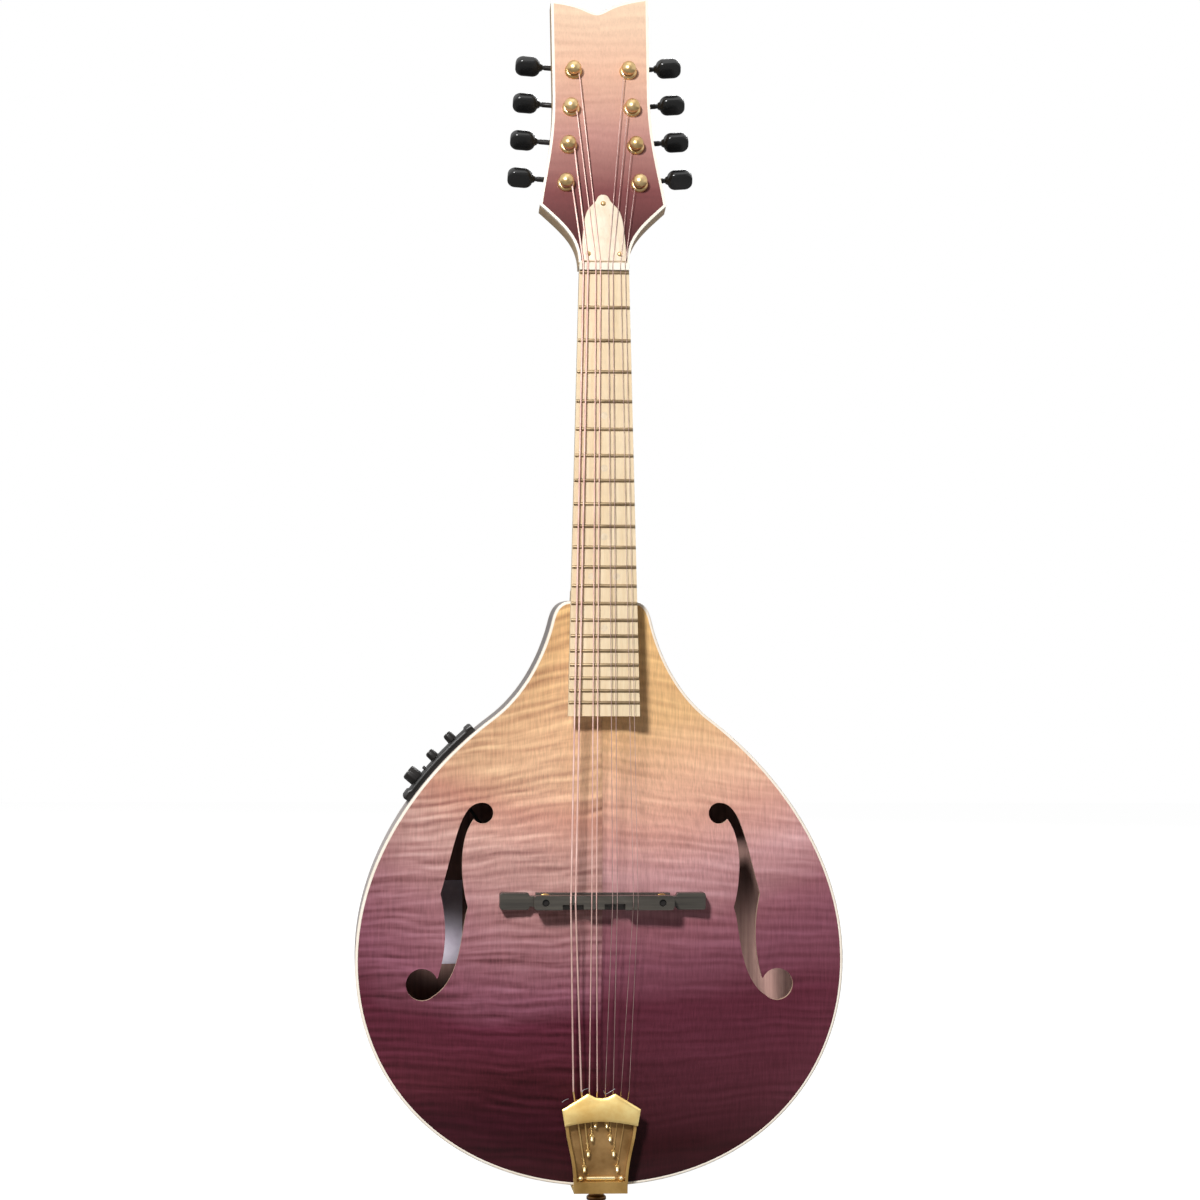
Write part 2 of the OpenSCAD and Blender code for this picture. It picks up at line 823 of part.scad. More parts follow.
cover_s = 1; // the cover's foot stands this far above the nut
cover_t = 1.6;
cover_holes = [[0, cover_l - 5.5], [-cover_w / 2 + 3.6, 4.2], [cover_w / 2 - 3.6, 4.2]];
function cover_half() = concat(
    [[cover_w / 2, 0], [cover_w / 2, 4.5]],
    curve([[cover_w / 2, 6], [cover_w / 2 - 0.6, 16], [cover_w / 2 - 1.2, 24],
        [cover_w / 2 - 2.6, cover_l - 12]], 5),
    curve([[cover_w / 2 - 2.9, cover_l - 11], [cover_w / 2 - 4.6, cover_l - 7],
        [5.4, cover_l - 6], [4, cover_l - 3.6]], 5),
    curve([[3.8, cover_l - 3.2], [3.2, cover_l - 1.2], [2, cover_l], [0, cover_l]], 4)
);
module truss_rod_cover() {
    color("blanchedalmond")
        head_frame()
            translate([0, 0, cover_s])
                difference() {
                    slab(-cover_t, 0)
                        polygon(concat(cover_half(), mirrored(cover_half())));
                    for (p = cover_holes)
                        translate([p[0], 0, p[1]])
                            along_y(0.8, -cover_t - 1, 1);
                }
}

// A small round-headed screw that points back into the wood
module small_screw(head_r, l) {
    rotate([-90, 0, 0])
        rotate_extrude()
            polygon([
                [0, -0.9], [head_r * 0.55, -0.75], [head_r, 0], [0.8, 0], [0.8, l - 1.2], [0, l]
            ]);
}

module head_screws() {
    color("gold") {
        head_frame()
            for (p = cover_holes)
                translate([p[0], -cover_t, p[1] + cover_s])
                    small_screw(1.5, 1.5);
        for (side = [bass, treble])
            tuner_row(side)
                for (p = plate_screw_places)
                    translate([p[0], veneer_t + head_t + tuner_plate_t, p[1]])
                        mirror([0, 1, 0])
                            small_screw(1.7, 1.1);
    }
}

// Tuners, each side a row of four on one plate

bushing_r = 4;
worm_up = cog_r + worm_r; // from a post's axis to its worm's axis
back_y = veneer_t + head_t; // the headstock's back face
plate_y = back_y + tuner_plate_t;
shaft_y = plate_y + worm_r + 1.1; // the worm's axis stands clear of the plate
cog_pitch = 2 * PI * cog_r / cog_teeth;
add = 0.45; // how far a tooth reaches past the pitch line
ded = 0.9;
flank = tan(20);
lug_t = 1.5;
lug_x = worm_l / 2 + play;
plate_half = 7;
plate_low = -12;
plate_high = 3 * tuner_pitch + worm_up + 6.5;
plate_middle = (3 * tuner_pitch + worm_up) / 2 - 1.5; // between a worm and the next cog
plate_screw_places = [
    [4.6, -9], [-4.6, -9], [4.6, plate_middle], [-4.6, plate_middle], [0, plate_high - 2.4]
];

module tuner_row(side) {
    head_frame()
        mirror([side == bass ? 1 : 0, 0, 0])
            translate([post_x, 0, post_s])
                rotate([0, -row_angle, 0])
                    children();
}

module each_tuner() {
    for (side = [bass, treble])
        tuner_row(side)
            for (i = [0:3])
                translate([0, 0, i * tuner_pitch])
                    children();
}

// the same places in the headstock's own frame
module each_post() {
    for (side = [0, 1])
        mirror([side, 0, 0])
            translate([post_x, 0, post_s])
                rotate([0, -row_angle, 0])
                    for (i = [0:3])
                        translate([0, 0, i * tuner_pitch])
                            children();
}

// A strip with a pair of lugs for each worm
module tuner_plate() {
    difference() {
        union() {
            slab(back_y, plate_y)
                hull() {
                    for (z = [plate_low + 3, plate_high - 3], x = [-plate_half + 3, plate_half - 3])
                        translate([x, z])
                            circle(r = 3, $fn = 16);
                }
            for (i = [0:3], side = [-1, 1])
                translate([side * (lug_x + lug_t / 2), 0, i * tuner_pitch + worm_up])
                    lug();
        }
        for (i = [0:3])
            translate([0, 0, i * tuner_pitch])
                along_y(post_r + shaft_fit, back_y - 1, plate_y + 1);
        for (p = plate_screw_places)
            translate([p[0], 0, p[1]])
                along_y(0.8, back_y - 1, plate_y + 1);
    }
}

module lug() {
    difference() {
        union() {
            translate([-lug_t / 2, plate_y - 0.2, -2.6])
                cube([lug_t, shaft_y - plate_y + 0.2, 5.2]);
            translate([0, shaft_y, 0])
                along_x(2.6, -lug_t / 2, lug_t / 2);
        }
        translate([0, shaft_y, 0])
            along_x(shaft_r + shaft_fit, -lug_t, lug_t);
    }
}

module tuner_plate_bass() {
    color("goldenrod")
        tuner_row(bass)
            tuner_plate();
}

module tuner_plate_treble() {
    color("goldenrod")
        tuner_row(treble)
            tuner_plate();
}

module tuner_bushings() {
    color("gold")
        each_tuner()
            rotate([-90, 0, 0])
                rotate_extrude()
                    polygon([
                        [post_r + shaft_fit, -1.9], [bushing_r - 0.3, -1.9], [bushing_r + 1.2, -0.9],
                        [bushing_r + 1.2, 0], [bushing_r, 0], [bushing_r, 8], [post_r + shaft_fit, 8]
                    ]);
}

// A string post with its cog and the screw that holds the cog on
cog_y = shaft_y - cog_t / 2;
module post() {
    waist = post_r - 0.7;
    cap_r = post_r + 0.65;
    rotate([-90, 0, 0])
        rotate_extrude()
            polygon(concat(
                [for (a = [0:18:90]) [cap_r * sin(a), 3.2 - post_h - 3.2 * cos(a)]],
                [[waist + 0.5, 4.1 - post_h], [waist, 4.3 - post_h], [waist, -2.4],
                    [post_r, -2], [post_r, cog_y - 1.2], [post_r + 1, cog_y - 1.2],
                    [post_r + 1, cog_y], [0, cog_y]]
            ));
    translate([0, cog_y + cog_t, 0])
        rotate([90, 0, 0])
            linear_extrude(height = cog_t)
                cog_outline();
    translate([0, cog_y + cog_t, 0])
        rotate([-90, 0, 0])
            difference() {
                cylinder(r = 2.6, h = 1.3);
                translate([-3, -0.35, 0.7])
                    cube([6, 0.7, 1]);
            }
}

// Straight-flanked teeth with one of them pointing at the worm
function tooth_half(r) = (cog_pitch - mesh_play) / 4 + (cog_r - r) * flank;
module cog_outline() {
    polygon([for (i = [0:cog_teeth - 1]) each [
        cog_point(i, cog_r - ded, -1), cog_point(i, cog_r + add, -1),
        cog_point(i, cog_r + add, 1), cog_point(i, cog_r - ded, 1)]]);
}
function cog_point(i, r, side) =
    let (a = 90 - 360 * i / cog_teeth - side * tooth_half(r) / r * 180 / PI)
    [r * cos(a), r * sin(a)];

// A key: worm, journals, shaft and button
worm_tip = worm_r + 0.55;
worm_root = worm_r - 0.7;
function thread_half(r) =
    (cog_pitch - (cog_pitch - mesh_play) / 2 - mesh_play) / 2 + (worm_r - r) * flank;
// the thread's section across the worm, whose solid side faces away from the cog at mid length
function worm_angle(r) = 360 * thread_half(r) / cog_pitch;
worm_slices = 28;
module worm() {
    tip = worm_angle(worm_tip);
    root = worm_angle(worm_root);
    section = [
        for (a = [-tip, 0, tip]) [worm_tip, a],
        for (i = [0:4]) [worm_root, lerp(root, 360 - root, i / 4)]
    ];
    polyhedron(
        points = [for (i = [0:worm_slices], p = section)
            let (x = worm_l * (i / worm_slices - 0.5), a = p[1] + 180 + 360 * x / cog_pitch)
            [x, p[0] * sin(a), -p[0] * cos(a)]],
        faces = loft_faces(len(section), worm_slices)
    );
}

// The button's face: an oval with its two ends cut short
module button_face(w, l) {
    hull()
        for (x = [-1, 1])
            translate([x * (l / 2 - w / 2.6), 0])
                intersection() {
                    circle(r = w / 2, $fn = 20);
                    square([w / 1.3, w], center = true);
                }
}

module button() {
    rotate([-35, 0, 0])
        hull() {
            translate([0, 0, -button_t / 2])
                linear_extrude(height = button_t)
                    button_face(button_w - 2.4, button_l - 2.4);
            translate([0, 0, -button_t / 2 + 1.3])
                linear_extrude(height = button_t - 2.6)
                    button_face(button_w, button_l);
        }
}

module key() {
    end = button_x - button_l / 2 + 1;
    translate([0, shaft_y, worm_up]) {
        worm();
        along_x(shaft_r, -lug_x - lug_t - 0.8, -worm_l / 2 + 0.3);
        along_x(shaft_r, worm_l / 2 - 0.3, end);
        translate([-lug_x - lug_t - 1.6, 0, 0])
            along_x(shaft_r + 0.7, 0, 1.3);
        translate([button_x, 0, 0])
            button();
    }
}

module keys(side, i) {
    color("dimgray")
        tuner_row(side)
            translate([0, 0, (i - 1) * tuner_pitch])
                key();
}

module posts(side, i) {
    color("gold")
        tuner_row(side)
            translate([0, 0, (i - 1) * tuner_pitch])
                post();
}

// Bridge

base_top = 19.4; // the base's upper face stands this far in front of the top's edge
wheel_gap = 0.9; // the wheels stand this far above the base
saddle_foot = base_top + wheel_gap + wheel_t + 0.1;
saddle_top = saddle_foot + saddle_h;
function front(h) = -edge_y - h;

// The base seen from the tail: its foot follows the top's arch
module base_front() {
    steps = 16;
    half = base_l / 2;
    translate([0, 0, bridge_z - base_t / 2])
        linear_extrude(height = base_t)
            polygon(concat(
                [for (i = [0:steps])
                    let (x = lerp(-half, half, i / steps))
                    [x, front(max(top_out(x, bridge_z - base_t / 2), top_out(x, bridge_z + base_t / 2))
                        + seat)]],
                [[half, front(base_top)], [-half, front(base_top)]]
            ));
}

// The base seen from the front: a middle block, two necks and two end wings
wing_l = 16.5;
neck_l = 3.5;
module base_plan() {
    half = base_l / 2;
    translate([0, bridge_z]) {
        for (side = [bass, treble])
            translate([side * (half - wing_l / 2), 0])
                hull()
                    for (x = [-1, 1], z = [-1, 1])
                        translate([x * (wing_l / 2 - 1.5), z * (base_t / 2 - 1.5)])
                            circle(r = 1.5, $fn = 16);
        square([base_l - 2 * wing_l + 2, base_t * 0.62], center = true);
        square([base_l - 2 * wing_l - 2 * neck_l, base_t], center = true);
    }
}

module bridge_base() {
    color("dimgray")
        difference() {
            intersection() {
                base_front();
                slab(-edge_y - base_top - 1, -edge_y)
                    base_plan();
            }
            adjuster_places()
                along_y(adjuster_r + shaft_fit, front(base_top) - 1, front(base_top - 3.5));
        }
}

module adjuster_places() {
    for (side = [bass, treble])
        translate([side * adjuster_w / 2, 0, bridge_z])
            children();
}

module bridge_posts() {
    color("silver")
        adjuster_places()
            along_y(adjuster_r, front(saddle_top - 1.6), front(base_top - 3.5));
}

module bridge_wheel(side) {
    color("goldenrod")
        translate([side * adjuster_w / 2, 0, bridge_z])
            difference() {
                slab(front(base_top + wheel_gap + wheel_t), front(base_top + wheel_gap))
                    difference() {
                        circle(r = wheel_r);
                        for (a = [0:30:330])
                            rotate(a)
                                translate([wheel_r, 0])
                                    rotate(45)
                                        square(0.8, center = true);
                    }
                along_y(adjuster_r + shaft_fit, front(saddle_foot + 1), front(base_top));
            }
}

// The saddle, stepped so that each pair has its own length
saddle_steps = [1.2, -1.4, 1.6, -2.2];
module saddle_plan() {
    half = saddle_l / 2;
    pair_w = (bridge_spread - pair_gap) / 3;
    difference() {
        hull()
            for (x = [-1, 1], z = [-1, 1])
                translate([x * (half - 2), bridge_z + z * (saddle_t / 2 - 2)])
                    circle(r = 2, $fn = 16);
        for (pair = [0:3])
            translate([(pair - 2) * pair_w, bridge_z - saddle_t / 2 - 1])
                square([pair_w, 1 + max(0, 1.8 + saddle_steps[pair])]);
    }
}

module bridge_saddle() {
    color("dimgray")
        difference() {
            slab(front(saddle_top), front(saddle_foot))
                saddle_plan();
            adjuster_places()
                along_y(adjuster_r + shaft_fit, front(saddle_top) - 1, front(saddle_foot) + 1);
            for (i = [0:7])
                string_notch(i);
        }
}

// A string's notch falls away from its highest point as the string does on either side
module string_notch(i) {
    low = saddle_point(i);
    width = string_d[floor(i / 2)] + 0.5;
    y = front(saddle_top - 0.3);
    reach = saddle_t / 2 + 1;
    tail = tail_point(i) - low;
    neck = nut_point(i, 0) - low;
    side_slab(low[0] - width / 2, low[0] + width / 2)
        polygon([
            [y, bridge_z], [y + reach * neck[1] / neck[2], bridge_z + reach],
            [y - 3, bridge_z + reach], [y - 3, bridge_z - reach],
            [y - reach * tail[1] / tail[2], bridge_z - reach]
        ]);
}

// Tailpiece

floor_h = 7.6; // height of the tailpiece's floor plate above the top's edge
rail_h = 6;
rail_t = casting_t - 0.4;
apron_h = 6.4; // height of the solid panel across the tailpiece's foot
crown_low = tailpiece_l - 15.5;
hook_rows = [[3.2, 37], [5.1, 29.5], [7.1, 21], [9.2, 12.5]];
hook_r = 0.8;

// Half width of the tailpiece at a height: straight at the tail, then sweeping out to the crown
function sweep(t) = pow(t * t * (3 - 2 * t), 1.4);
function tail_half(z) = lerp(tail_w, crown_w - 4, sweep(max(0, z) / crown_low)) / 2;
module tailpiece_plan(inset, low) {
    zs = [for (i = [0:9]) lerp(low, crown_low, i / 9)];
    polygon(concat(
        [for (z = zs) [tail_half(z) - inset, z]],
        [for (i = [9:-1:0]) [inset - tail_half(zs[i]), zs[i]]]
    ));
}

// The crown: two peaks with a dip between them over an arched lower edge
module crown_plan() {
    peak = 7.6;
    half = crown_w / 2;
    polygon([
        [-half + 1.6, crown_low - 2.6], [-half, tailpiece_l - 8.8], [-peak - 1, tailpiece_l - 0.6],
        [-peak, tailpiece_l], [-peak + 1.2, tailpiece_l - 0.6], [-3.4, tailpiece_l - 2.2],
        [0, tailpiece_l - 2.6], [3.4, tailpiece_l - 2.2], [peak - 1.2, tailpiece_l - 0.6],
        [peak, tailpiece_l], [peak + 1, tailpiece_l - 0.6], [half, tailpiece_l - 8.8],
        [half - 1.6, crown_low - 2.6],
        for (i = [1:7])
            let (x = lerp(half - 1.6, 1.6 - half, i / 8))
            [x, crown_low - 2.6 + 2.6 * cos(90 * x / (half - 1.6))]
    ]);
}

module tailpiece() {
    skirt_low = -casting_t;
    color("gold")
        difference() {
            union() {
                slab(front(floor_h + casting_t), front(floor_h))
                    tailpiece_plan(0, skirt_low);
                slab(front(floor_h + rail_h), front(floor_h))
                    difference() {
                        tailpiece_plan(0, skirt_low);
                        tailpiece_plan(rail_t, skirt_low + apron_h);
                    }
                slab(front(floor_h + rail_h + casting_t), front(floor_h + rail_h))
                    crown_plan();
                for (side = [bass, treble])
                    slab(front(floor_h + rail_h), front(floor_h))
                        translate([side * (crown_w / 2 - 3.4) - casting_t / 2, crown_low - 1])
                            square([casting_t, 6]);
                translate([-tail_w / 2, front(floor_h + 0.5), skirt_low])
                    cube([tail_w, floor_h + edge_y + 12, casting_t]);
                for (side = [bass, treble], row = hook_rows)
                    translate([side * row[0], 0, row[1]])
                        hook();
            }
            translate([0, 0, skirt_low - 1])
                cylinder(r = jack_r + play, h = casting_t + 2);
            for (x = [-1, 1])
                translate([x * tail_screw_x, tail_screw_y, skirt_low - 1])
                    cylinder(r = 1.2, h = casting_t + 2);
            translate([0, bar_y, bar_z])
                along_x(bar_r, -bar_half - 2, bar_half + 2);
        }
}

// A stud with a small head that holds a string's loop
module hook() {
    rotate([90, 0, 0])
        translate([0, 0, -front(floor_h + casting_t) - 0.3]) {
            cylinder(r = hook_r, h = 2.8);
            translate([0, 0, 2.4])
                cylinder(r = 1.2, h = 0.7);
        }
}

tail_screw_x = 10.5;
tail_screw_y = 6.5;
bar_r = 1.1;
bar_half = tail_w / 2 - rail_t + 0.6;
bar_sleeve = tail_w / 2 - 6.7; // half length of the thick middle, between two collars
bar_y = front(floor_h + casting_t + 2.2);
bar_z = 6.4;
module tailpiece_bar() {
    color("gold")
        translate([0, bar_y, bar_z]) {
            along_x(bar_r, -bar_half, bar_half);
            along_x(bar_r + 0.4, -bar_sleeve, bar_sleeve);
            for (side = [bass, treble])
                translate([side * (bar_sleeve + 3.2), 0, 0])
                    along_x(bar_r + 0.4, -0.9, 0.9);
        }
}

module tailpiece_screws() {
    color("gold")
        for (x = [-1, 1])
            translate([x * tail_screw_x, tail_screw_y, -casting_t])
                rotate_extrude()
                    polygon([
                        [0, -1.4], [1.6, -1.1], [2.3, 0], [1.2, 0], [1.2, casting_t],
                        [1.0, casting_t], [1.0, 12], [0, 14]
                    ]);
}

// End-pin jack: a barrel through the tail block, held by a flanged button outside

module output_jack() {
    low = -casting_t - pin_l;
    color("gold")
        rotate_extrude()
            polygon([
                [plug_r, low], [pin_r + 1.2, low], [pin_r + 1.6, low + 0.6], [pin_r + 1.6, low + 2],
                [pin_r, low + 3.2], [pin_r, -casting_t - 1.2], [jack_r + 1.6, -casting_t - 0.8],
                [jack_r + 1.6, -casting_t], [jack_r, -casting_t], [jack_r, tail_block_l + 14],
                [jack_r - 1, tail_block_l + 15], [0, tail_block_l + 15], [0, tail_block_l + 13],
                [plug_r, tail_block_l + 13]
            ]);
}

module jack_nut() {
    color("silver")
        translate([0, 0, tail_block_l])
            difference() {
                cylinder(r = jack_r + 2.6, h = 2.5, $fn = 6);
                translate([0, 0, -1])
                    cylinder(r = jack_r, h = 5, $fn = 32);
            }
}

// Preamp in the bass rib below the shoulder

panel_from = 0.545; // share of the side's curve where the panel starts
panel_to = 0.912;
housing_w = 44;
housing_d = rib_h - 2 * lining_h - 1;
housing_l = 22;
knob_places = [0.816, 0.723, 0.624];
button_place = 0.67;

// The middle of the panel's chord, with +Z straight out of the rib
module rib_frame(t) {
    p = bez(side_curve, t);
    d = bez_dir(side_curve, t);
    mirror([1, 0, 0])
        translate([p[0], 0, p[1]])
            rotate([0, atan2(d[1], -d[0]), 0])
                children();
}

module preamp_frame() {
    rib_frame((panel_from + panel_to) / 2)
        children();
}

panel_steps = 12;
module preamp_panel() {
    color("dimgray")
        difference() {
            mirror([1, 0, 0])
                union() {
                    slab(-panel_w / 2, panel_w / 2)
                        polygon(concat(
                            shifted(side_curve, panel_steps, shaft_fit, panel_from, panel_to),
                            reversed(shifted(side_curve, panel_steps, panel_t, panel_from, panel_to))
                        ));
                    for (t = [panel_from, panel_to - 0.035])
                        slab(-panel_w / 2, panel_w / 2)
                            polygon(concat(
                                shifted(side_curve, 2, 0, t, t + 0.035),
                                reversed(shifted(side_curve, 2, panel_t + 1, t, t + 0.035))
                            ));
                }
            for (t = knob_places)
                rib_frame(t)
                    translate([0, 0, -3])
                        cylinder(r = knob_shaft_r + shaft_fit, h = 10);
            rib_frame(button_place)
                translate([0, 0, -3])
                    cylinder(r = push_r + shaft_fit, h = 10);
        }
}

// An open box behind the panel, whose rim follows the panel's back
module preamp_housing() {
    middle = bez_dir(side_curve, (panel_from + panel_to) / 2);
    inward = 2 * housing_l * [-middle[1], middle[0]];
    color("black")
        intersection() {
            preamp_frame()
                difference() {
                    translate([-housing_w / 2, -housing_d / 2, -housing_l])
                        cube([housing_w, housing_d, housing_l + panel_t]);
                    translate([-housing_w / 2 + 2, -housing_d / 2 + 2, -housing_l + 2])
                        cube([housing_w - 4, housing_d - 4, housing_l + panel_t]);
                }
            mirror([1, 0, 0])
                slab(-panel_w / 2, panel_w / 2)
                    polygon(concat(
                        shifted(side_curve, panel_steps, 0, panel_from, panel_to),
                        [bez(side_curve, panel_to) + inward, bez(side_curve, panel_from) + inward]
                    ));
        }
}

knob_shaft_r = 1.4;
push_r = 1;
push_out = 2; // how far the button stands out of the panel
collar_t = 1; // collars behind the panel keep the knobs and the button in
module knob(t, d, h) {
    color("dimgray")
        rib_frame(t)
            rotate_extrude()
                polygon([
                    [0, -collar_t - play], [knob_shaft_r + 1, -collar_t - play],
                    [knob_shaft_r + 1, -play], [knob_shaft_r, -play], [knob_shaft_r, panel_t + play],
                    [d / 2, panel_t + play], [d / 2 - 0.2, panel_t + h - 1],
                    [d / 2 - 1, panel_t + h], [0, panel_t + h]
                ]);
}

module volume_knob() {
    knob(knob_places[2], big_knob_d, big_knob_h);
}

module bass_knob() {
    knob(knob_places[1], knob_d, knob_h);
}

module treble_knob() {
    knob(knob_places[0], knob_d, knob_h);
}

module push_button() {
    color("dimgray")
        rib_frame(button_place)
            rotate_extrude()
                polygon([
                    [0, -collar_t - play], [push_r + 0.8, -collar_t - play], [push_r + 0.8, -play],
                    [push_r, -play], [push_r, panel_t + push_out - 0.3],
                    [push_r - 0.3, panel_t + push_out], [0, panel_t + push_out]
                ]);
}

pickup_z = bridge_z - 14;
pickup_t = 1.4;
pickup_r = 9;
pickup_front = seat - edge_y
    - min(top_in(pickup_r, pickup_z - pickup_r), top_in(pickup_r, pickup_z + pickup_r));
module pickup() {
    color("goldenrod")
        translate([0, 0, pickup_z])
            along_y(pickup_r, pickup_front, pickup_front + pickup_t);
}

// The pickup's lead to the preamp and the preamp's lead to the jack
lead_r = 0.9;
jack_end = tail_block_l + 15;
pickup_back = pickup_front + pickup_t;
// a point out of the bass rib by one distance and along it by another
function rib_point(t, out, along) =
    let (p = bez(side_curve, t) + along * bez_dir(side_curve, t), d = bez_dir(side_curve, t))
    [-p[0] - out * d[1], 0, p[1] - out * d[0]];
function housing_end(out, along) =
    rib_point((panel_from + panel_to) / 2, -housing_l - out, along);
module leads() {
    color("black") {
        tube(concat([[-2, 0, jack_end]],
            curve([[-2, 0, jack_end + 4], [-20, 8, jack_end + 22], housing_end(60, -8), housing_end(6, -8)],
                6), [housing_end(0, -8)]), lead_r);
        tube(concat([[-6, pickup_back, pickup_z]],
            curve([[-6, pickup_back + 3, pickup_z], [-16, pickup_back + 12, pickup_z + 4],
                housing_end(30, 4), housing_end(6, 4)], 6), [housing_end(0, 4)]), lead_r);
    }
}

// Strings

wrap_y = -5; // the windings' front end, in front of the headstock's face
wrap_turns = 3;
hook_of = [3, 2, 1, 0, 0, 1, 2, 3];

function neck_point(x, y, z) =
    [x, nut_y + y * cos(neck_angle) + z * sin(neck_angle),
        nut_z - y * sin(neck_angle) + z * cos(neck_angle)];
function head_point(x, y, s) =
    [x, pivot[0] + y * cos(head_angle) + s * sin(head_angle),
        pivot[1] - y * sin(head_angle) + s * cos(head_angle)];
// the side, post and winding of a string: the outer strings go to the lowest posts
function string_side(i) = i < 4 ? bass : treble;
function string_row(i) = i < 4 ? i : 7 - i;
function post_place(side, row) =
    [side * (post_x - row * tuner_pitch * sin(row_angle)), post_s + row * tuner_pitch * cos(row_angle)];
function wrap_r(i) = post_r - 0.7 + shaft_fit + string_d[floor(i / 2)] / 2;

function tail_x(i) = tail_spread * (i / 7 - 0.5);

// where a string leaves the tailpiece, rests on the saddle and crosses the nut
function tail_point(i) =
    [tail_x(i), front(floor_h + rail_h - string_d[floor(i / 2)] / 2 - 0.6), tailpiece_l + 1];
function string_lift(i) = string_d[floor(i / 2)] / 2 + 0.05;
function saddle_point(i) =
    [string_x(i, bridge_spread), front(saddle_top + string_lift(i) - 0.3), bridge_z];
function nut_point(i, along) = neck_point(string_x(i, nut_spread), -fret_h - string_lift(i), along);

module one_string(i) {
    d = string_d[floor(i / 2)];
    side = string_side(i);
    place = post_place(side, string_row(i));
    hook_at = hook_rows[hook_of[i]];
    tube([
        [side * hook_at[0], front(floor_h + casting_t + 1.3), hook_at[1] + hook_r + 0.1],
        tail_point(i), saddle_point(i), nut_point(i, 0), nut_point(i, nut_top()),
        head_point(place[0] - side * wrap_r(i), wrap_y, place[1])
    ], d / 2);
    head_frame()
        translate([place[0], 0, place[1]])
            rotate([-90, 0, 0])
                rotate_extrude()
                    winding(wrap_r(i), d);
}

// A post's winding in section, one bump for each turn
module winding(r, d) {
    polygon(concat(
        [[r - d / 2, wrap_y - d / 2]],
        [for (turn = [0:wrap_turns - 1], a = [-60:60:60])
            [r + d / 2 * cos(a), wrap_y + turn * d + d / 2 * sin(a)]],
        [[r - d / 2, wrap_y + (wrap_turns - 0.5) * d]]
    ));
}

module wound_strings() {
    color("peru")
        for (i = [0:3])
            one_string(i);
}

module plain_strings() {
    color("silver")
        for (i = [4:7])
            one_string(i);
}

top_plate();
back_plate();
rib_bass();
rib_treble();
linings();
body_binding();
neck_block();
tail_block();
tone_bars();
neck();
heel_cap();
head_veneer();
head_binding();
fretboard();
fretboard_riser();
frets();
fret_markers();
nut();
truss_rod();
truss_rod_cover();
head_screws();
tuner_plate_bass();
tuner_plate_treble();
tuner_bushings();
keys(bass, 1);  // key_bass_1
keys(bass, 2);  // key_bass_2
keys(bass, 3);  // key_bass_3
keys(bass, 4);  // key_bass_4
keys(treble, 1);  // key_treble_1
keys(treble, 2);  // key_treble_2
keys(treble, 3);  // key_treble_3
keys(treble, 4);  // key_treble_4
posts(bass, 1);  // post_bass_1
posts(bass, 2);  // post_bass_2
posts(bass, 3);  // post_bass_3
posts(bass, 4);  // post_bass_4
posts(treble, 1);  // post_treble_1
posts(treble, 2);  // post_treble_2
posts(treble, 3);  // post_treble_3
posts(treble, 4);  // post_treble_4
bridge_base();
bridge_posts();
bridge_wheel(bass);  // bridge_wheel_bass
bridge_wheel(treble);  // bridge_wheel_treble
bridge_saddle();
tailpiece();
tailpiece_bar();
tailpiece_screws();
output_jack();
jack_nut();
preamp_panel();
preamp_housing();
volume_knob();
bass_knob();
treble_knob();
push_button();
pickup();
leads();
wound_strings();
plain_strings();
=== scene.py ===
import bisect
import math
import bmesh
import bpy
from mathutils import Matrix, Quaternion, Vector


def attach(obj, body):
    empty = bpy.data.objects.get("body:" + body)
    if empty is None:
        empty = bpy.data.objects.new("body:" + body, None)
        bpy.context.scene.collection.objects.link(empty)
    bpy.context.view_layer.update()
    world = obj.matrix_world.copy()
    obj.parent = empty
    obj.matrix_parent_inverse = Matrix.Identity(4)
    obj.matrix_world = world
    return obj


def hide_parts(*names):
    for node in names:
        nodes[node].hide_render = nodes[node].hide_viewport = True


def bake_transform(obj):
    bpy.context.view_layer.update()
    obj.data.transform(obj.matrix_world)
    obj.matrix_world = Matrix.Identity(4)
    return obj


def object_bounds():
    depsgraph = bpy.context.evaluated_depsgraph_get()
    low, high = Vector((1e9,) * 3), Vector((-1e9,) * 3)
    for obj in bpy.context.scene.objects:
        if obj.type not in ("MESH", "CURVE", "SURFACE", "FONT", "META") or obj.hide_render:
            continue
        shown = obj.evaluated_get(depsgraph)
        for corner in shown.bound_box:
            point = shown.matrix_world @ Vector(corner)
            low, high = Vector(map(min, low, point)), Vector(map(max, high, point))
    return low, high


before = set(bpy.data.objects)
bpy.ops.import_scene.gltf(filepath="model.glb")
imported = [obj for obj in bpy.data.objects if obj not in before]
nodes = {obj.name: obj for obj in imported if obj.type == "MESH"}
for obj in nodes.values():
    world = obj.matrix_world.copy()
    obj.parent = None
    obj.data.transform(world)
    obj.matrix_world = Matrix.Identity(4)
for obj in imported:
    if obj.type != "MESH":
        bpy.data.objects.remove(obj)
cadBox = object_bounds()
millimetre = 0.001


def srgb(red, green, blue):
    def linear(value):
        value = value / 255
        return value / 12.92 if value <= 0.04045 else ((value + 0.055) / 1.055) ** 2.4
    return (linear(red), linear(green), linear(blue), 1.0)


def addNode(tree, kind, inputs=None, **settings):
    made = tree.nodes.new("ShaderNode" + kind)
    for key, value in settings.items():
        setattr(made, key, value)
    for key, value in (inputs or {}).items():
        if isinstance(value, bpy.types.NodeSocket):
            tree.links.new(value, made.inputs[key])
        else:
            made.inputs[key].default_value = value
    return made


def mathNode(tree, operation, first, second=0.0, clamp=False):
    return addNode(tree, "Math", {0: first, 1: second}, operation=operation, use_clamp=clamp).outputs[0]


def times(tree, first, second):
    return mathNode(tree, "MULTIPLY", first, second)


def plus(tree, first, second, clamp=False):
    return mathNode(tree, "ADD", first, second, clamp)


